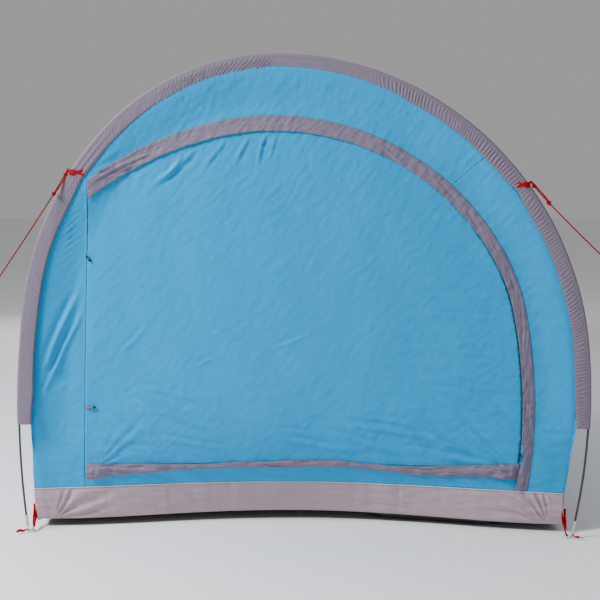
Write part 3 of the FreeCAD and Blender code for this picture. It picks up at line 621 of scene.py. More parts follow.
MATERIALS = {
    "blue_cloth": finish_material("blue_taffeta", (0.0, 0.285, 0.600), 0.42,
                                  specular=0.10, weave=0.0007, crease=0.035),
    "sleeve_cloth": finish_material("mauve_sleeve", (0.170, 0.140, 0.195), 0.48,
                                    sheen=0.06, weave=0.0007, crease=0.02),
    "flap_cloth": finish_material("mauve_flap", (0.165, 0.142, 0.205), 0.50,
                                  sheen=0.06, weave=0.0007, crease=0.02),
    "tub_cloth": finish_material("grey_tub", (0.370, 0.275, 0.325), 0.55,
                                 sheen=0.06, weave=0.0009, crease=0.03),
    "floor_cloth": finish_material("black_floor", (0.020, 0.021, 0.024), 0.55, weave=0.0016, crease=0.05),
    "piping": finish_material("pale_piping", (0.62, 0.58, 0.60), 0.6, weave=0.0008),
    "zip_tape": finish_material("zip_tape", (0.030, 0.030, 0.045), 0.8, weave=0.0008),
    "thread": finish_material("thread", (0.10, 0.20, 0.30), 0.7),
    "mauve_thread": finish_material("mauve_thread", (0.11, 0.09, 0.12), 0.7),
    "red_webbing": finish_material("red_webbing", (0.300, 0.001, 0.008), 0.70, specular=0.05, weave=0.0016),
    "guy_rope": finish_material("red_rope", (0.300, 0.001, 0.008), 0.8, specular=0.05, grain=0.0008),
    "rope_fleck": finish_material("rope_fleck", (0.020, 0.014, 0.016), 0.7, grain=0.0008),
    "black_plastic": finish_material("black_plastic", (0.014, 0.014, 0.016), 0.38, grain=0.0006),
    "zip_metal": finish_material("zip_enamel", (0.018, 0.018, 0.022), 0.30, metal=0.6, grain=0.0008),
    "fibreglass": finish_material("black_fibreglass", (0.012, 0.012, 0.013), 0.28, coat=0.3, grain=0.0015),
    "ferrule_steel": finish_material("ferrule_steel", (0.55, 0.55, 0.56), 0.30, metal=1.0, grain=0.0010),
    "tip_metal": finish_material("tip_metal", (0.58, 0.57, 0.56), 0.34, metal=0.9, grain=0.0010),
    "pin_steel": finish_material("pin_steel", (0.52, 0.52, 0.52), 0.30, metal=1.0, grain=0.0012),
    "shock_cord": finish_material("shock_cord", (0.60, 0.60, 0.58), 0.8, grain=0.0006),
}


def dress(piece, slot, body="root", replaces=(), colour=None):
    piece.data.materials.append(MATERIALS[colour or slot])
    if body == "swing":
        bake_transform(piece)
    else:
        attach(piece, body)
    if replaces:
        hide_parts(*replaces)
    return piece


HARD = {
    "pole_sections": "fibreglass", "pole_ferrules": "ferrule_steel",
    "pole_end_tips": "tip_metal", "pole_shock_cord": "shock_cord",
}
for hoop_name in HOOP_NAMES:
    for part, slot in HARD.items():
        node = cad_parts[f"{hoop_name}_{part}"]
        node.data.materials.clear()
        node.data.materials.append(MATERIALS[slot])
for part, slot in {"foot_pins": "pin_steel", "foot_rings": "pin_steel",
                   "left_rope_runner": "black_plastic", "right_rope_runner": "black_plastic"}.items():
    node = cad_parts[part]
    node.data.materials.clear()
    node.data.materials.append(MATERIALS[slot])


# ---------------------------------------------------------------- camera, floor and lights
def look(thing, target):
    thing.rotation_euler = (Vector(target) - thing.location).to_track_quat("-Z", "Y").to_euler()


camera_data = bpy.data.cameras.new("camera")
camera_data.lens = 80.9
camera = bpy.data.objects.new("camera", camera_data)
camera.location = CAMERA_PLACE
look(camera, CAMERA_TARGET)
bpy.context.scene.collection.objects.link(camera)
bpy.context.scene.camera = camera
LIGHTS = (                             # name, place, target, width in metres, watts
    ("key", (-4.4, -4.1, 4.4), (0, -1.4, 0.9), 1.7, 640),
    ("fill", (4.2, -5.5, 2.6), (0, 0, 0.8), 4.0, 15),
    ("top", (0.0, 0.5, 5.5), (0, 0, 0.5), 5.0, 90),
    ("back", (-3.0, 5.5, 3.2), (0, 0, 0.9), 3.5, 80),
)
for light_name, place, target, width, power in LIGHTS:
    light_data = bpy.data.lights.new(light_name, "AREA")
    light_data.size = width
    light_data.energy = power
    light = bpy.data.objects.new(light_name, light_data)
    light.location = place
    look(light, target)
    bpy.context.scene.collection.objects.link(light)
world = bpy.data.worlds.new("studio")
world.use_nodes = True
world.node_tree.nodes["Background"].inputs["Color"].default_value = (1.0, 1.0, 1.0, 1)
world.node_tree.nodes["Background"].inputs["Strength"].default_value = 0.36
bpy.context.scene.world = world
FLOOR_HALF, FLOOR_Z = 30, -0.002
floor_corners = [(x * FLOOR_HALF, y * FLOOR_HALF, FLOOR_Z) for x, y in ((-1, -1), (1, -1), (1, 1), (-1, 1))]
floor = object_from("floor", floor_corners, [(0, 1, 2, 3)])
floor.data.materials.append(finish_material("pale_floor", (0.90, 0.90, 0.90), 0.9))


# ---------------------------------------------------------------- guy ropes
ROPE_RADIUS = 0.0028
ROUTES = {
    "left": [(-0.945, -1.600, 1.517), (-1.013, -1.634, 1.382), (-1.257, -1.756, 1.003)],
    "right": [(0.938, -1.600, 1.468), (1.012, -1.637, 1.370), (1.275, -1.769, 1.110)],
}


def route_line(name, route):
    """The rope's own curve, and evenly read points along it."""
    data = bpy.data.curves.new(name + "_route", "CURVE")
    data.dimensions = "3D"
    data.resolution_u = 40
    spline = data.splines.new("NURBS")
    spline.points.add(len(route) - 1)
    for point, place in zip(spline.points, route):
        point.co = (*place, 1)
    spline.order_u = 3
    spline.use_endpoint_u = True
    holder = bpy.data.objects.new(name + "_route", data)
    read = bpy.data.meshes.new_from_object(holder)
    points = np.array([v.co for v in read.vertices])
    bpy.data.objects.remove(holder)
    bpy.data.meshes.remove(read)
    run = np.concatenate([[0.0], np.cumsum(np.linalg.norm(np.diff(points, axis=0), axis=1))])
    at = np.linspace(0, run[-1], int(run[-1] / 0.0015))
    return np.stack([np.interp(at, run, points[:, k]) for k in range(3)], 1), run[-1]


def rope_tube(name, path, closed=False):
    """Braided rope: red with black flecks that wind round it."""
    sides = 12
    tube = swept_tube(name, path, ROPE_RADIUS, sides, twist=210.0, ridge=0.07, closed=closed)
    tube.data.materials.append(MATERIALS["guy_rope"])
    tube.data.materials.append(MATERIALS["rope_fleck"])
    for polygon in tube.data.polygons:
        row, side = divmod(polygon.index, sides)
        if len(polygon.vertices) == 4 and (row + side // 2) % 7 < 3:
            polygon.material_index = 1
    return tube


def knot_path(centre, along, size, turns=2.5):
    """A barrel knot's coil round a rope."""
    along = np.asarray(along, float) / np.linalg.norm(along)
    side = np.cross(along, [0, 0, 1.0])
    side /= np.linalg.norm(side)
    other = np.cross(along, side)
    t = np.linspace(0, 1, 90)
    turn = t * turns * 2 * math.pi
    return (np.asarray(centre) + np.outer((t - 0.5) * size, along)
            + 0.0062 * (np.outer(np.cos(turn), side) + np.outer(np.sin(turn), other)))


for side_name, route in ROUTES.items():
    line, length = route_line(side_name, route)
    rope = rope_tube(side_name + "_rope", line)
    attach(rope, "root")
    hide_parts(side_name + "_guy_rope")
    heading = (line[8] - line[0]) / np.linalg.norm(line[8] - line[0])
    away = np.cross(heading, [0.0, 1.0, 0.0])
    away /= np.linalg.norm(away)
    tail_line = line[2:80] + np.outer(0.0060 * np.sin(np.linspace(0.35, 3.1, 78)) ** 0.5, away)
    tie = merged(side_name + "_rope_tie", [
        rope_tube("tail", tail_line), rope_tube("coil_a", knot_path(line[76], heading, 0.014)),
        rope_tube("coil_b", knot_path(line[14], heading, 0.008, 1.5))])
    dress(tie, "guy_rope")
    end = np.array(route[-1])
    along = (end - np.array(route[-2])) / np.linalg.norm(end - np.array(route[-2]))
    broad = np.cross(along, [0.0, 0.0, 1.0])
    broad /= np.linalg.norm(broad)
    t = np.linspace(0, 2 * math.pi, 160, endpoint=False)
    ring = end + np.outer(0.043 - 0.030 * np.cos(t), along) + np.outer(0.0115 * np.sin(t), broad)
    coil = knot_path(end + 0.008 * along, along, 0.013, 2.5)
    loop = merged(side_name + "_end_loop", [rope_tube("ring", ring, closed=True), rope_tube("coil", coil)])
    dress(loop, "guy_rope", "root", [side_name + "_rope_end_loop"])


# ---------------------------------------------------------------- pole sleeves
LOW_REACH, HIGH_REACH = (float(reach_at(SLEEVE_HEM, side)) for side in (-1, 1))
CROWN_REACH = float(hoop.starts[len(HOOP_LEFT)])
BAND_HEIGHT = {-1: 1.507, 1: 1.457}    # the webbing that holds the guy ropes, on each side
BAND_REACH = {side: float(reach_at(z, side)) for side, z in BAND_HEIGHT.items()}


def sleeve_folds(reach, w, seed):
    """Gathers between the pole and the seam: deep and slanting left of the crown, finer to its right."""
    from_crown = reach - CROWN_REACH
    left = 1 - smooth(from_crown, -0.06, 0.05)
    drift = 0.8 * noise_a(reach * 6 + seed, w * 9) + 0.25 * noise_b(reach * 23, seed)
    deep = smooth(from_crown, -0.62, -0.36) * left
    slanted = 1.5 * np.abs(np.sin(math.pi * ((reach + 1.05 * w) / 0.0185 + drift))) - 0.4
    waves = (0.0014 + 0.0036 * deep) * left * slanted
    right = smooth(from_crown, 0.28, 0.50)
    fine = 1.5 * np.abs(np.sin(math.pi * ((reach - 0.30 * w) / 0.0155 + 1.6 * drift))) - 0.4
    waves = waves + right * (0.0022 + 0.0014 * noise_b(reach * 4.2 + seed, 2.0)) * fine
    at_end = np.exp(-(((reach - HIGH_REACH + 0.10) / 0.09) ** 2))
    waves = waves + 0.0016 * at_end * np.sin(2 * math.pi * (reach + 0.9 * w) / 0.019)
    long = np.exp(-((from_crown - 0.16) / 0.15) ** 2)
    phase = 2 * math.pi * (w - 0.02 * from_crown) / 0.019
    waves = waves + 0.0022 * long * np.sin(phase + 1.5 * noise_c(reach * 4, 1.0))
    at_band = np.exp(-(((reach - BAND_REACH[-1] - 0.09) / 0.10) ** 2))
    waves = waves + 0.0024 * at_band * np.sin(2 * math.pi * w / 0.020 + 2.2 * noise_c(reach * 5, 4.0))
    pinch = np.exp(-np.abs(from_crown - 0.004) / 0.030)
    waves = waves - 0.0034 * pinch * smooth(w, 0.018, 0.050)
    waves = waves + 0.0010 * noise_d(reach * 24 + 20 * w + seed, w * 24)
    return np.maximum(waves, -0.0012) * smooth(w, 0.004, 0.018) * (1 - 0.75 * smooth(w, 0.046, 0.056))


def make_sleeve(index):
    name, y0 = HOOP_NAMES[index], HOOP_Y[index]
    reach = np.linspace(LOW_REACH, HIGH_REACH, 1500)
    bulge = 0.0078
    arc = np.linspace(-math.pi / 2, math.pi / 2, 9)
    front_w = np.linspace(SLEEVE_WIDTH, 0.004, 11)
    w = np.concatenate([front_w, -bulge * np.cos(arc), front_w[::-1]])
    fall = np.clip(1 - (front_w - 0.004) / (SLEEVE_WIDTH - 0.004), 0, 1)
    depth = 0.0030 + (bulge - 0.0030) * fall ** 0.8
    y = np.concatenate([-depth, bulge * np.sin(arc), depth[::-1]])
    side = np.concatenate([-np.ones(11), np.sin(arc), np.ones(11)])
    rr, ww = np.meshgrid(reach, w, indexing="ij")
    out = sleeve_folds(rr, ww, 3.0 * index) * side[None]
    loose = 0.0010 * noise_b(rr * 7 + index, 0.5) * (ww < 0)
    from_end = np.minimum(rr - LOW_REACH, HIGH_REACH - rr)
    pinched = 0.006 * np.exp(-(((rr - BAND_REACH[-1]) / 0.05) ** 2))
    pinched = pinched + 0.011 * np.exp(-(((rr - BAND_REACH[1]) / 0.05) ** 2))
    narrow = pinched + 0.009 * (1 - smooth(from_end, 0.0, 0.16))
    trim = (0.0022 * noise_d(rr * 5 + 9 * index, 0.2) - narrow) * smooth(ww, 0.02, 0.058)
    x, z, nx, nz = (a.reshape(rr.shape) for a in hoop.at(rr.ravel(), (ww - loose + trim).ravel()))
    points = np.stack([x, y0 + y[None] + out, z], -1).reshape(-1, 3)
    uvs = np.stack([rr.ravel(), ww.ravel()], 1)
    sleeve = cloth_from(name + "_sleeve", points, grid_faces(len(reach), len(w)), uvs, 0.0006)
    dress(sleeve, "sleeve_cloth", replaces=[name + "_pole_sleeve"])
    seams = []
    for inset in (0.0535, 0.0565, 0.0085):
        x, z, nx, nz = hoop.at(reach[::2], inset)
        depth_here = 0.0030 + (bulge - 0.0030) * max(0.0, 1 - (inset - 0.004) / (SLEEVE_WIDTH - 0.004)) ** 0.8
        base = sleeve_folds(reach[::2], inset, 3.0 * index)
        for face in (-1, 1):
            line = np.stack([x, y0 + face * (depth_here + base + 0.0005), z], 1)
            seams.append((line, (0.0, face, 0.0)))
    dress(dashes(name + "_sleeve_stitches", seams), "sleeve_cloth", colour="mauve_thread")


for index in range(3):
    make_sleeve(index)


# ---------------------------------------------------------------- front wall
def outline_up(side, low, high, steps=60):
    z = np.linspace(low, high, steps)
    return np.stack([edge_x(z, side), z], 1)


def hoop_run(start, end, steps=160):
    """The walls' outline between two lengths along the hoop, above the sleeves' ends."""
    x, z, _, _ = hoop.at(np.linspace(start, end, steps), SEAM_INSET)
    return np.stack([x, z], 1)


def flap_run(inset, start, end, steps=150):
    x, z, _, _ = flap.at(np.linspace(start, end, steps), inset)
    return np.stack([x, z], 1)


def flap_start(inset):
    """Where the flap's line meets the upright seam."""
    reach = np.linspace(0, flap.starts[-1], 8000)
    x, z, _, _ = flap.at(reach, inset)
    good = (x > seam_x(z)) & (z > 1.0)
    return float(reach[good][0])


def flap_end(inset, low):
    reach = np.linspace(flap.starts[-1] * 0.5, flap.starts[-1], 8000)
    x, z, _, _ = flap.at(reach, inset)
    return float(reach[z > low][-1])


ZIP_INSET = 0.050
JOIN_LOW, JOIN_HIGH = (0.552, 1.400), (0.842, 1.658)      # the slanted seam of the top and right pieces


def first_crossing(run, join):
    """Where a run of points passes to the right of the slanted seam."""
    (x0, z0), (x1, z1) = join
    above = (run[:, 0] - x0) * (z1 - z0) - (run[:, 1] - z0) * (x1 - x0)
    return int(np.argmax(above > 0))


def along_zip(start, end, lift=0.0, steps=120):
    """The bottom zip's line from one x to another."""
    x = np.linspace(start, end, steps)
    return np.stack([x, zip_low(x) + lift], 1)


def along_tub(start, end, steps=120):
    x = np.linspace(start, end, steps)
    return np.stack([x, tub_top(x)], 1)


left_edge = outline_up(-1, TUB_TOP, SLEEVE_HEM, 20)
left_reach = np.linspace(float(reach_at(SLEEVE_HEM + 0.005, -1)), CROWN_REACH, 900)
left_hoop = hoop_run(left_reach[0], left_reach[-1], 900)
stop = int(np.argmax(left_hoop[:, 0] > seam_x(left_hoop[:, 1])))
seam_heights = np.linspace(left_hoop[stop][1], float(tub_top(SEAM_X)), 160)
seam_line = np.stack([seam_x(seam_heights), seam_heights], 1)
left_foot = along_tub(seam_line[-1][0] - 0.003, left_edge[0][0] + 0.003, 20)
left_loop = np.concatenate([left_edge, left_hoop[:stop:3], seam_line, left_foot])
top_reach = np.linspace(left_reach[stop], float(reach_at(1.2, 1)), 900)
top_run = hoop_run(top_reach[0], top_reach[-1], 900)
cut = first_crossing(top_run, (JOIN_LOW, JOIN_HIGH))
zip_start, zip_end = flap_start(ZIP_INSET), flap_end(ZIP_INSET, DOOR_LOW)
zip_run = flap_run(ZIP_INSET, zip_start, zip_end, 900)
zip_cut = first_crossing(zip_run, (JOIN_LOW, JOIN_HIGH))
seam_down = np.linspace(top_run[0][1], zip_run[0][1], 12)[1:-1]
top_loop = np.concatenate([top_run[:cut:4], top_run[cut:cut + 1], zip_run[:zip_cut + 1][::-4],
                           np.stack([seam_x(seam_down), seam_down], 1)[::-1]])
hem_reach = float(reach_at(SLEEVE_HEM + 0.005, 1))
right_low = outline_up(1, SLEEVE_HEM, TUB_TOP, 20)
zip_foot = zip_run[-1]
right_loop = np.concatenate([hoop_run(top_reach[cut], hem_reach, 200), right_low,
                             along_tub(right_low[-1][0] - 0.003, zip_foot[0], 20),
                             zip_run[-1:zip_cut:-4], zip_run[zip_cut:zip_cut + 1]])
seam_foot = float(seam_x(TUB_TOP))
sill_zip = along_zip(zip_foot[0], float(seam_x(DOOR_LOW)))
sill_loop = np.concatenate([along_tub(seam_foot, zip_foot[0]), sill_zip])
TUCK = 0.0535
door_start, door_end = flap_start(TUCK), flap_end(TUCK, DOOR_LOW + 0.002)
door_run = flap_run(TUCK, door_start, door_end, 300)
door_down = np.linspace(door_run[0][1], DOOR_LOW + 0.002, 160)
door_seam = np.stack([seam_x(door_down) + 0.0006, door_down], 1)
door_foot = along_zip(door_run[-1][0] - 0.003, door_seam[-1][0] + 0.003, 0.002)
door_loop = np.concatenate([door_run, door_foot, door_seam[::-1]])

PANELS = {
    "left_panel": (left_loop, 0.0075, "root", "front_left_panel"),
    "top_panel": (top_loop, 0.0090, "root", "front_top_panel"),
    "right_panel": (right_loop, 0.0090, "root", "front_right_panel"),
    "sill_panel": (sill_loop, 0.0085, "root", "front_sill"),
    "door_cloth": (door_loop, 0.0085, "swing", "front_door"),
}


for name, (loop, spacing, body, node) in PANELS.items():
    spacing = spacing * 1.0
    panel = patch_cloth(name, loop, spacing, on_wall())
    dress(panel, "blue_cloth", body, [node])


# ---------------------------------------------------------------- storm flaps
def arch_flap_cloth():
    """The arched flap: sewn along its outer edge, lifting off the zip along its free inner edge."""
    across = np.linspace(0, 1, 16)
    starts = [flap_start(0.004 + FLAP_WIDTH * w) + 0.0015 for w in across]
    stops = [flap_end(0.004 + FLAP_WIDTH * w, TUB_TOP + 0.012) for w in across]
    run = np.linspace(0, 1, 620)
    tt, ww = np.meshgrid(run, across, indexing="ij")
    reach = np.asarray(starts)[None] * (1 - tt) + np.asarray(stops)[None] * tt
    wide = 0.064 - 0.014 * smooth(tt, 0.25, 0.8) + 0.0016 * noise_a(tt * 26, 3.0)
    low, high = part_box("arch_zip_slider")
    height = flap.at(reach, 0.05)[1]
    wide = wide - 0.011 * np.exp(-(((height - (low.z + high.z) / 2 + 0.012) / 0.045) ** 2))
    inset = ww * wide
    x, z, nx, nz = flap.at(reach, inset)
    lift = 0.0016 + 0.0050 * ww ** 1.5 + 0.0022 * ww * noise_b(tt * 38, 1.0)
    fold = stroke(reach, inset, (starts[0] + 0.01, 0.020), (starts[0] + 0.30, 0.036), 0.0055, 0.0060)
    fold = fold + stroke(reach, inset, (starts[0] + 0.05, 0.040), (starts[0] + 0.25, 0.048), 0.005, 0.0030)
    creases = 0.0028 * crumple(reach, inset, 0.14, 0.020, 0.12, seed=2)
    creases = creases + 0.0014 * noise_d(reach * 30, inset * 40)
    lift = lift + 0.0060 * smooth(tt, 0.88, 0.96) * smooth(ww, 0.1, 0.7)
    y = wall_y(x, z) - np.maximum(lift + fold + creases * smooth(ww, 0.0, 0.2), 0.0012)
    points = np.stack([x, y, z], -1).reshape(-1, 3)
    cloth = cloth_from("arch_flap", points, grid_faces(len(run), len(across)),
                       np.stack([reach.ravel(), inset.ravel()], 1))
    dress(cloth, "flap_cloth", replaces=["arch_storm_flap"])
    rows = []
    for k in (1, 3, 14):
        rows.append((np.stack([x[:, k], y[:, k] - 0.0005, z[:, k]], 1), (0.0, -1.0, 0.0)))
    dress(dashes("arch_flap_stitches", rows), "flap_cloth", colour="mauve_thread")


# The bottom flap's two uneven edges: places across the door, and each edge's height there.
LOW_EDGE_X = [-0.868, -0.80, -0.68, -0.55, -0.42, -0.31, -0.20, -0.08,
              0.06, 0.18, 0.28, 0.39, 0.51, 0.63, 0.76, 0.868]
LOW_EDGE_TOP = [0.272, 0.270, 0.272, 0.269, 0.270, 0.278, 0.282, 0.289,
                0.291, 0.292, 0.279, 0.272, 0.268, 0.277, 0.282, 0.286]
LOW_EDGE_BOTTOM = [0.204, 0.216, 0.227, 0.238, 0.248, 0.250, 0.253, 0.255,
                   0.258, 0.260, 0.252, 0.243, 0.225, 0.225, 0.226, 0.220]


def low_flap_cloth():
    """The flap over the bottom zip, sewn to the door above it and sagging in loose folds."""
    run = np.linspace(-0.904, 0.922, 400)
    across = np.linspace(0, 1, 20)
    xx, vv = np.meshgrid(run, across, indexing="ij")
    shift = 0.006 - 0.5 * BOW * np.clip(1 - (run / HALF_WIDTH) ** 2, 0, 1) ** 2 * 0.085
    top = np.interp(run, LOW_EDGE_X, LOW_EDGE_TOP) + shift + 0.0012 * noise_a(run * 13, 2.0)
    bottom = np.interp(run, LOW_EDGE_X, LOW_EDGE_BOTTOM) + shift + 0.003 * noise_b(run * 9, 4.0)
    zz = top[:, None] * (1 - vv) + bottom[:, None] * vv
    puff = np.sin(math.pi * np.clip(vv * 1.05, 0, 1)) ** 0.7
    lift = 0.0018 + 0.0065 * puff + 0.0030 * vv
    folds = 0.0032 * crumple(xx, zz * 1.3, 0.16, 0.026, -0.10, sharp=1.2, seed=5) * smooth(vv, 0.0, 0.25)
    folds = folds + 0.0022 * noise_d(xx * 17, zz * 30) * smooth(vv, 0.0, 0.3)
    ends = np.exp(-(((np.abs(xx) - 0.86) / 0.05) ** 2))
    folds = folds + 0.0020 * ends * noise_c(xx * 45, zz * 60)
    over_slider = 0.0095 * np.exp(-(((np.abs(xx) - 0.868) / 0.05) ** 4)) * smooth(vv, 0.05, 0.28)
    tucked = 1 - 0.75 * smooth(xx, 0.885, 0.915)
    y = wall_y(xx, zz) - (np.maximum(lift + 2.2 * folds, 0.0012) + over_slider) * tucked
    points = np.stack([xx, y, zz], -1).reshape(-1, 3)
    cloth = cloth_from("low_flap", points, grid_faces(len(run), len(across)),
                       np.stack([xx.ravel(), zz.ravel()], 1))
    dress(cloth, "flap_cloth", "swing", ["bottom_storm_flap"])
    rows = [(np.stack([xx[:, k], y[:, k] - 0.0006, zz[:, k]], 1), (0.0, -1.0, 0.0)) for k in (1, 3)]
    dress(dashes("low_flap_stitches", rows), "flap_cloth", "swing", colour="mauve_thread")


arch_flap_cloth()
low_flap_cloth()


# ---------------------------------------------------------------- zips, sliders and pulls
def zip_line(kind):
    """Points along a zip's closed line, and the direction across it, on the wall."""
    if kind == "arch":
        reach = np.linspace(flap_start(0.052) + 0.01, flap_end(0.052, DOOR_LOW + 0.01), 500)
        x, z, nx, nz = flap.at(reach, 0.0515)
    else:
        x = np.linspace(float(seam_x(DOOR_LOW)) + 0.012, zip_run[-1][0] - 0.006, 420)
        z, nx, nz = zip_low(x), np.zeros_like(x), np.ones_like(x)
    return x, z, nx, nz


def make_zip(kind):
    x, z, nx, nz = zip_line(kind)
    for part, side, body in (("wall", -1, "root"), ("door", 1, "swing")):
        middle = 0.0068 * side
        tx, tz = x + nx * middle, z + nz * middle
        path = np.stack([tx, wall_y(tx, tz) + 0.0018, tz], 1)
        tape = ribbon(f"{kind}_{part}_tape", path, np.stack([nx, 0 * nx, nz], 1), 0.011, 0.0008)
        bx, bz = x + nx * 0.0014 * side, z + nz * 0.0014 * side
        fine = np.linspace(0, len(bx) - 1, 1500)
        index = np.arange(len(bx))
        beads = np.stack([np.interp(fine, index, bx), np.interp(fine, index, wall_y(bx, bz) + 0.0006),
                          np.interp(fine, index, bz)], 1)
        coil = swept_tube(f"{kind}_{part}_coil", beads, 0.0013, 6)
        node = {"arch": "arch_zip_", "bottom": "bottom_zip_"}[kind] + part + "_tape"
        dress(merged(f"{kind}_{part}_zip", [tape, coil]), "zip_tape", body, [node])


make_zip("arch")
make_zip("bottom")


def rounded_block(size, centre, roundness, turn=0.0, cuts=3):
    """A small moulded block with rounded edges, turned about the Y axis."""
    steps = np.linspace(-1, 1, 2 * cuts + 1)
    points, faces = [], []
    for axis in range(3):
        for sign in (-1, 1):
            start = len(points)
            for a in steps:
                for b in steps:
                    point = [a, b]
                    point.insert(axis, sign)
                    points.append(point)
            n = len(steps)
            for i in range(n - 1):
                for j in range(n - 1):
                    k = start + i * n + j
                    face = (k, k + 1, k + n + 1, k + n)
                    faces.append(face if sign * (-1) ** axis > 0 else face[::-1])
    points = np.array(points, float) * np.array(size) / 2
    core = np.clip(points, -(np.array(size) / 2 - roundness), np.array(size) / 2 - roundness)
    off = points - core
    length = np.linalg.norm(off, axis=1, keepdims=True)
    points = core + off / np.maximum(length, 1e-9) * roundness
    cos, sin = math.cos(turn), math.sin(turn)
    x, z = points[:, 0] * cos + points[:, 2] * sin, -points[:, 0] * sin + points[:, 2] * cos
    points = np.stack([x, points[:, 1], z], 1) + np.asarray(centre)
    return object_from("block", points, faces)


def slider_pieces(kind, turn):
    """The slider's body and bridge, and its pull with a cord tab, at the CAD slider's place."""
    low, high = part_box(kind + "_zip_slider")
    aside = -0.009 if kind == "arch" else 0.0
    cx, cz = (low.x + high.x) / 2 + aside, (low.z + high.z) / 2
    back = float(wall_y(np.array([cx]), np.array([cz]))[0]) - 0.0010
    parts = [rounded_block((0.0095, 0.0030, 0.0150), (cx, back - 0.0015, cz), 0.0013, turn),
             rounded_block((0.0060, 0.0022, 0.0105), (cx, back - 0.0036, cz), 0.0010, turn)]
    dress(merged(kind + "_slider", parts), "zip_metal", kind + "_slider", [kind + "_zip_slider"])
    low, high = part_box(kind + "_zip_pull")
    px = (low.x + high.x) / 2 + aside
    front = back - 0.0062
    tab = [rounded_block((0.0055, 0.0014, 0.0150), (px, front, high.z - 0.0080), 0.0006),
           rounded_block((0.0068, 0.0030, 0.0130), (px, front, high.z - 0.0205), 0.0014)]
    dress(merged(kind + "_pull", tab), "zip_metal", kind + "_pull", [kind + "_zip_pull"],
          colour="black_plastic")


slider_pieces("arch", 0.04)
slider_pieces("bottom", math.pi / 2)


# ---------------------------------------------------------------- toggles
def make_toggle(name):
    """A moulded toggle bar with a waist, held by a tape loop sewn into the seam."""
    low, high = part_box(name + "_toggle_bar")
    centre = np.array([(low.x + high.x) / 2, 0.0, (low.z + high.z) / 2])
    face = float(wall_y(centre[:1], centre[2:])[0])
    centre[1] = face - 0.0075
    tilt = math.radians({"upper": -35, "lower": 75}[name])
    along = np.array([math.sin(tilt), 0.0, math.cos(tilt)])
    t = np.linspace(-1, 1, 41)
    size = 0.0040 * np.sqrt(np.clip(1 - np.abs(t) ** 7, 0.0004, 1)) * (1 - 0.32 * np.exp(-((t / 0.16) ** 2)))
    angle = np.arange(14) / 14 * 2 * math.pi
    side = np.cross(along, [0.0, 1.0, 0.0])
    points = (centre + np.outer(t * 0.016, along))[:, None] + size[:, None, None] * (
        np.cos(angle)[:, None] * side + np.sin(angle)[:, None] * np.array([0.0, 1.0, 0.0]))[None]
    faces = grid_faces(41, 14, closed=True) + [tuple(reversed(range(14))), tuple(range(40 * 14, 41 * 14))]
    bar = object_from(name + "_toggle", points.reshape(-1, 3), faces)
    dress(bar, "black_plastic", name + "_toggle", [name + "_toggle_bar"])
    start = np.array([float(seam_x(centre[2])) + 0.004, face - 0.0008, centre[2]])
    around = []
    for turn in np.linspace(-0.5 * math.pi, 0.5 * math.pi, 12):
        reach = np.array([centre[0] - start[0], 0.0, 0.0])
        around.append(start + reach + np.array([0.0042 * math.cos(turn), 0.0, 0.0])
                      + np.array([0.0, (centre[1] - start[1]) + 0.0046 * math.sin(turn), 0.0]))
    path = [start + [0.0, -0.0012, 0.0], (start + around[0]) / 2 + [0, -0.002, 0], *around,
            (start + around[-1]) / 2 + [0, 0.0012, 0], start + [0.0, 0.0002, 0.0]]
    path = curve_through(np.array(path), 60)
    wide = 0.011 - 0.004 * np.sin(np.linspace(0, math.pi, 60))
    loop = ribbon(name + "_tape_loop", path, (0.0, 0.0, 1.0), wide, 0.0009)
    patch = rounded_block((0.010, 0.0016, 0.013), start + [0.002, -0.0010, 0.0], 0.0007)
    dress(merged(name + "_loop", [loop, patch]), "red_webbing", replaces=[name + "_toggle_loop"],
          colour="flap_cloth")


make_toggle("upper")
make_toggle("lower")


# ---------------------------------------------------------------- seams of the front wall
def seam_tape(name, line, width, slot, body="root"):
    """A folded seam lying on the wall, with a row of stitches near each of its edges."""
    line = np.asarray(line, float)
    step = np.gradient(line, axis=0)
    step /= np.linalg.norm(step, axis=1, keepdims=True)
    across = np.stack([step[:, 1], 0 * step[:, 0], -step[:, 0]], 1)
    path = np.stack([line[:, 0], wall_y(line[:, 0], line[:, 1]) - 0.0008, line[:, 1]], 1)
    tape = ribbon(name, path, across, width, 0.0007)
    dress(tape, slot, body)
    rows = []
    for edge in (-0.36, 0.36):
        moved = path + across * width * edge
        moved[:, 1] = wall_y(moved[:, 0], moved[:, 2]) - 0.0013
        rows.append((moved, (0.0, -1.0, 0.0)))
    dress(dashes(name + "_stitches", rows), slot, body, colour="thread")


heights = np.linspace(seam_heights[0] - 0.012, seam_heights[-1] + 0.003, 420)
seam_tape("upright_seam", np.stack([seam_x(heights) - 0.0055, heights], 1), 0.010, "blue_cloth")
t = np.linspace(0, 1, 80)[:, None]
seam_tape("slanted_seam", top_run[cut] * (1 - t) + zip_run[zip_cut] * t, 0.009, "blue_cloth")


# ---------------------------------------------------------------- tub and groundsheet
def tub_creases(x, z):
    depth = 0.0034 * noise_b(x * 3.1 + 2, z * 7) + 0.0036 * crumple(x, z, 0.30, 0.035, 0.06, seed=6)
    depth = depth + 0.0024 * crumple(x, z, 0.10, 0.022, -0.35, seed=8)
    depth = depth + fan(x, z, (-1.055, 0.03), 0.62, 0.75, 19, 0.34, 0.0064)
    depth = depth + fan(x, z, (1.045, 0.03), 2.35, 0.80, 21, 0.38, 0.0068)
    return depth


def tub_front(x, v):
    low, top = tub_low(x), tub_top(x)
    z = low + (top + 0.001 - low) * v
    left, right = edge_x(z, -1), edge_x(z, 1)
    x = left + (right - left) * (x - TUB_LEFT) / (TUB_RIGHT - TUB_LEFT)
    fold = tub_creases(x, z) * smooth(v, -0.1, 0.25) * (1 - smooth(v, 0.85, 1.0))
    upper = wall_y(x, top) - bow(x, top) - 0.6 * wrinkles(x, top) * (1 - v)
    return x, upper + bow(x, z) - 0.0005 - 0.006 * np.sin(math.pi * v) - fold, z


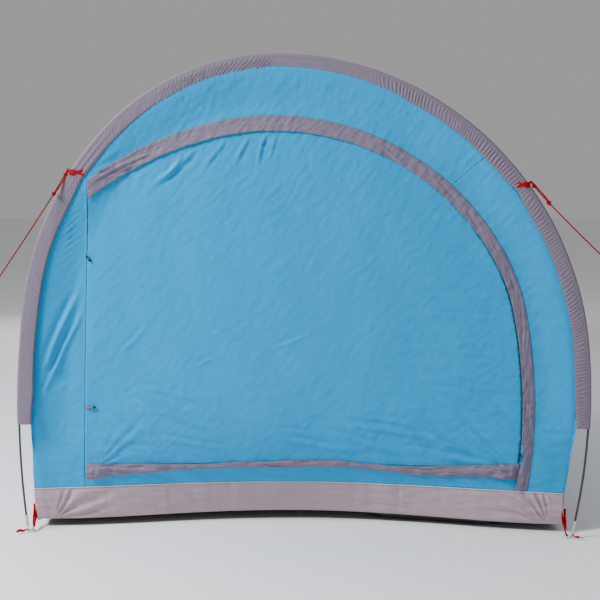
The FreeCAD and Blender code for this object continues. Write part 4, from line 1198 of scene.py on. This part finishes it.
TUB_LEFT, TUB_RIGHT = edge_x(TUB_TOP, -1).item(), edge_x(TUB_TOP, 1).item()
tub = grid_cloth("front_tub", tub_front, np.linspace(TUB_LEFT, TUB_RIGHT, 330), np.linspace(0, 1, 26), 0.0009)
dress(tub, "tub_cloth", replaces=["front_tub_wall"])
pipe_x = np.linspace(TUB_LEFT + 0.002, TUB_RIGHT - 0.002, 400)
pipe = np.stack(tub_front(pipe_x, np.full_like(pipe_x, 1.0)), 1) - [0, 0.0016, 0]
dress(swept_tube("tub_piping", pipe, 0.0017, 8), "piping", replaces=["front_tub_piping"])
row = np.stack(tub_front(pipe_x, np.full_like(pipe_x, 0.955)), 1) - [0, 0.0010, 0]
dress(dashes("tub_stitches", [(row, (0.0, -1.0, 0.0))]), "tub_cloth", colour="mauve_thread")


def rear_tub(x, v):
    x = x + 0 * v
    low = rear_low(x)
    z = low + (TUB_TOP + 0.001 - low) * v
    left, right = edge_x(z, -1), edge_x(z, 1)
    x = left + (right - left) * (x - TUB_LEFT) / (TUB_RIGHT - TUB_LEFT)
    fold = tub_creases(-x, z) * smooth(v, -0.1, 0.25) * (1 - smooth(v, 0.85, 1.0))
    top = rear_y(x, np.full_like(z, TUB_TOP)) + 0.5 * bow(x, TUB_TOP)
    return x, top - 0.5 * bow(x, z) + 0.0005 + 0.006 * np.sin(math.pi * v) + fold, z


rear_span = np.linspace(TUB_LEFT, TUB_RIGHT, 220)
back_tub = grid_cloth("rear_tub", rear_tub, rear_span, np.linspace(0, 1, 18), 0.0009)
dress(back_tub, "tub_cloth", replaces=["rear_tub_wall"])
rear_outline = np.concatenate([
    outline_up(-1, TUB_TOP, SLEEVE_HEM, 20),
    hoop_run(float(reach_at(SLEEVE_HEM + 0.005, -1)), float(reach_at(SLEEVE_HEM + 0.005, 1)), 420),
    outline_up(1, SLEEVE_HEM, TUB_TOP, 20)])
back = patch_cloth("rear_panel", rear_outline, 0.016, lambda x, z: (x, rear_y(x, z), z))
dress(back, "blue_cloth", replaces=["rear_wall"])
row_x = np.linspace(TUB_LEFT + 0.01, TUB_RIGHT - 0.01, 300)
rows = []
for v in (0.93, 0.985):
    line = np.stack(rear_tub(row_x, np.full_like(row_x, v)), 1) + [0, 0.0010, 0]
    rows.append((line, (0.0, 1.0, 0.0)))
dress(dashes("rear_stitches", rows), "tub_cloth", colour="mauve_thread")


# ---------------------------------------------------------------- canopies and side walls of the tub
def canopy_surface(reach, t, bay):
    """Where the canopy is, a share t of the way from one hoop to the next, at a length along them."""
    first, last = HOOP_Y[bay] + 0.0015, HOOP_Y[bay + 1] - 0.0015
    y = first + (last - first) * t
    x0, z0, _, _ = hoop.at(np.ravel(reach), 0.0)
    height = z0.reshape(np.shape(reach))
    side = np.where(x0.reshape(np.shape(reach)) < -0.1, -1, 1)
    slack = 0.012 + 0.020 * smooth(height, 0.9, 1.9)
    slack = slack * smooth(height, 0.02, 0.5)
    inset = 0.046 + slack * (4 * t * (1 - t)) ** 0.8
    ends = 1 - smooth(np.minimum(t, 1 - t), 0.0, 0.10)
    inset = inset + ends * (hoop_inset(height, side) - SEAM_INSET)
    near = np.minimum(t, 1 - t) * (last - first)
    phase = reach * 2 * math.pi / 0.075 + 3 * noise_a(reach * 4 + bay, 1.0)
    pulls = 0.0030 * np.sin(phase) * np.exp(-near / 0.10)
    creases = 0.0035 * noise_a(reach * 2.4 + 5 * bay, y * 2.2)
    creases = creases + 0.0020 * crumple(reach, y, 0.30, 0.07, 0.8, seed=bay)
    creases = creases + 0.0012 * crumple(reach, y, 0.22, 0.05, -0.6, seed=bay + 4)
    slopes = 0.0030 * crumple(y, height, 0.35, 0.06, 0.9, seed=7 + bay) * (1 - smooth(height, 0.3, 0.9))
    hold = smooth(near, 0.0, 0.03)
    inset = inset + pulls * smooth(near, 0.0, 0.015) + (creases + slopes) * hold
    x, z, _, _ = hoop.at(np.ravel(reach), np.ravel(inset))
    return x.reshape(np.shape(reach)), y, z.reshape(np.shape(reach))


def make_bay(bay, name):
    low, high = float(reach_at(TUB_TOP + 0.001, -1)), float(reach_at(TUB_TOP + 0.001, 1))
    reach = np.linspace(low, high, 330)
    t = np.linspace(0, 1, 110)

    def place(s, along):
        x, y, z = canopy_surface(s, along, bay)
        front, rear = wall_y(x, z), rear_y(x, z)
        below = 1 - smooth(z, 0.30, 0.55)
        if bay == 0:
            pull = np.maximum(front - y, 0)
            y = y + below * pull
        else:
            pull = np.maximum(y - rear, 0)
            y = y - below * pull
        return x, y, z

    cloth = grid_cloth(name, place, reach, t, 0.0008)
    dress(cloth, "blue_cloth", replaces=[name.replace("_cloth", "")])
    rows = []
    for part in (0.28, 0.72):
        s = np.full_like(t, low + (high - low) * part)
        x, y, z = place(s, t)
        x2, _, z2 = place(s + 0.01, t)
        out = np.stack([-(z2 - z), 0 * y, x2 - x], 1)
        out /= np.linalg.norm(out, axis=1, keepdims=True)
        path = np.stack([x, y, z], 1) + out * 0.0010
        across = np.stack([x2 - x, 0 * y, z2 - z], 1)
        across /= np.linalg.norm(across, axis=1, keepdims=True)
        dress(ribbon(f"{name}_seam_{int(part * 100)}", path, across, 0.012, 0.0008), "blue_cloth")
        for edge in (-0.004, 0.004):
            rows.append((path + across * edge + out * 0.0006, out))
    dress(dashes(name + "_stitches", rows), "blue_cloth", colour="thread")
    return place


bay_places = [make_bay(0, "front_bay_canopy_cloth"), make_bay(1, "rear_bay_canopy_cloth")]


def side_tub(side, name):
    """The upturned edge of the groundsheet along one side, through both bays."""
    v = np.linspace(0, 1, 12)
    pieces = []
    for bay in (0, 1):
        t = np.linspace(0, 1, 150)
        tt, vv = np.meshgrid(t, v, indexing="ij")
        z = 0.024 + (TUB_TOP + 0.001 - 0.024) * vv
        reach = reach_at(z, side)
        x, y, zz = bay_places[bay](reach, tt)
        fold = 0.0022 * crumple(y, zz, 0.16, 0.03, 1.1, seed=side + bay) * np.sin(math.pi * vv)
        x = x + side * (fold + 0.0008)
        points = np.stack([x, y, zz], -1).reshape(-1, 3)
        pieces.append(cloth_from("part", points, grid_faces(150, 12),
                                 np.stack([y.ravel(), zz.ravel()], 1), 0.0009))
    cloth = merged(name, pieces)
    dress(cloth, "tub_cloth", replaces=[name.replace("_cloth", "")])


side_tub(-1, "left_tub_wall_cloth")
side_tub(1, "right_tub_wall_cloth")


def ground(u, v):
    """The groundsheet, turned up along its edges to meet the tub's walls."""
    y0 = tub_front(TUB_LEFT + (TUB_RIGHT - TUB_LEFT) * u, 0 * u)[1]
    y1 = rear_tub(TUB_LEFT + (TUB_RIGHT - TUB_LEFT) * u, 0 * u)[1]
    y = y0 + 0.001 + (y1 - y0 - 0.002) * v
    left, right = edge_x(0.02 + 0 * u, -1) + 0.002, edge_x(0.02 + 0 * u, 1) - 0.002
    x = left + (right - left) * u
    shown = smooth(x, 0.22, 0.36) * (1 - smooth(x, 0.80, 0.90))
    ramp = {"front": 0.20 - 0.13 * shown, "rear": 0.12, "side": 0.11}
    front = 1 - smooth(v * 2.9, 0.0, ramp["front"])
    rear = 1 - smooth((1 - v) * 2.9, 0.0, ramp["rear"])
    side = 1 - smooth(np.minimum(u, 1 - u) * 2.1, 0.0, ramp["side"])
    flat = 0.0022 + 0.0008 * (1 + noise_a(x * 4, y * 4))
    rise = np.maximum(np.maximum(front * (tub_low(x) - 0.002), rear * (rear_low(x) - 0.002)), side * 0.023)
    return x, y, np.maximum(flat, 0.0022 + rise)


def edges_first(count, dense):
    t = np.linspace(0, 1, count)
    rim = np.array([0.004, 0.008, 0.012])[:dense]
    return np.unique(np.concatenate([t, rim, 1 - rim]))


sheet_cloth = grid_cloth("groundsheet_cloth", ground, edges_first(160, 3), edges_first(170, 3), 0.0012)
dress(sheet_cloth, "floor_cloth", replaces=["groundsheet"])


# ---------------------------------------------------------------- red webbing
def make_corner(index, side):
    """The strap from a corner of the tub to the ring on the pole's foot, and the peg loop beyond."""
    y0 = HOOP_Y[index]
    back = (1, 0, -1)[index]
    foot_x = float(hoop.at(reach_at(0.006, side), 0.0)[0][0])
    corner = np.array(TUB_LEFT if side < 0 else TUB_RIGHT)
    if index == 0:
        cx, cy, cz = (a.item() for a in tub_front(corner, np.array(0.12)))
    elif index == 2:
        cx, cy, cz = (a.item() for a in rear_tub(corner, np.array(0.12)))
    else:
        cx, cy, cz = edge_x(0.03, side).item(), y0, 0.034
    ring = np.array([foot_x - side * 0.020, y0 + back * 0.006, 0.0095])
    sewn = np.array([cx + side * 0.0020, cy - back * 0.004, cz])
    path = curve_through([sewn + [0, 0, 0.052], sewn + [0, 0, 0.018],
                          sewn + [side * 0.003, -back * 0.002, -0.006], (sewn + ring) / 2 + [side * 0.002, 0, -0.002],
                          ring + [0, 0, 0.004],
                          ring + [side * 0.006, -back * 0.002, -0.0035]], 50)
    wide = np.interp(np.linspace(0, 1, 50), [0, 0.35, 0.6, 0.8, 1], [0.020, 0.024, 0.021, 0.014, 0.012])
    turn = np.linspace(0.35, 1.1, 50) * 1.2
    across = np.stack([np.cos(turn) * 0.8, np.sin(turn) * (0.6 if back else 1.0), 0.2 * np.sin(turn)], 1)
    strap = ribbon("strap", path, across, wide, 0.0014)
    out = np.array([side * 0.7, -back * 0.7, 0.0])
    out /= np.linalg.norm(out)
    start = np.array([foot_x, y0, 0.0075]) + out * 0.006
    tail = curve_through([start + [0, 0, 0.001], start + out * 0.016 + [0, 0, -0.0035],
                          start + out * 0.034 + [0, 0, 0.001], start + out * 0.052 + [0, 0, -0.002]], 40)
    flat = np.cross(out, [0, 0, 1.0])
    roll = np.linspace(1.2, 0.3, 40)
    across = np.outer(np.cos(roll), flat) + np.outer(np.sin(roll), [0, 0, 1.0])
    wide = np.interp(np.linspace(0, 1, 40), [0, 0.3, 0.55, 1], [0.0065, 0.0080, 0.0150, 0.0110])
    tail = tail + [0, 0, 0.001]
    peg = ribbon("peg", tail + [0, 0, 0.003], across, wide, 0.0026)
    return strap, peg


straps, pegs = [], []
for index in range(3):
    for side in (-1, 1):
        strap, peg = make_corner(index, side)
        straps.append(strap)
        pegs.append(peg)
dress(merged("corner_straps", straps), "red_webbing", replaces=["corner_webbing"])
dress(merged("peg_tails", pegs), "red_webbing", replaces=["peg_loops"])


def guy_band(index, side):
    """Webbing folded level round the sleeve, pinched to an eye outside it that the guy rope is tied to."""
    reach, y0 = BAND_REACH[side], HOOP_Y[index]
    w = np.array([0.044, 0.038, 0.030, 0.020, 0.004, -0.0075, -0.0105, -0.0075, 0.004, 0.020, 0.030, 0.040])
    w = np.where(w > 0.01, w * (1.0 if side < 0 else 0.85), w)
    d = np.array([0.0035, 0.0055, 0.0076, 0.0100, 0.0115, 0.0075, 0.0,
                  -0.0075, -0.0115, -0.0100, -0.0072, -0.0050])
    if index == 2:
        d = -d
    _, _, nx, nz = (float(a[0]) for a in hoop.at(reach))
    x, z, _, _ = hoop.at(reach - w * nz / nx, w)
    path = curve_through(np.stack([x, y0 - d, z], 1), 90)
    share = np.linspace(0, 1, 90)
    wide = 0.024 - 0.013 * np.exp(-(((share - 0.22) / 0.07) ** 2))
    wide = wide - 0.010 * np.exp(-(((share - 0.54) / 0.09) ** 2))
    band = ribbon("band", path, (0.0, 0.0, 1.0), wide, 0.0015)
    ex, ez, _, _ = (float(a[0]) for a in hoop.at(reach, -0.0155))
    turn = np.linspace(0, 2 * math.pi, 61)
    around = np.outer(np.cos(turn), [-nx, 0, -nz]) + np.outer(np.sin(turn), [0, 1.0, 0])
    ring = np.array([ex, y0, ez]) + 0.0070 * around
    eye = ribbon("eye", ring, (0.0, 0.0, 1.0), 0.009, 0.0014)
    return merged("piece", [band, eye])


for name, index, sides in (("front_left", 0, (-1,)), ("front_right", 0, (1,)),
                           ("middle", 1, (-1, 1)), ("rear", 2, (-1, 1))):
    node = name + ("_guy_loop" if index == 0 else "_guy_loops")
    dress(merged(name + "_band", [guy_band(index, side) for side in sides]), "red_webbing", replaces=[node])
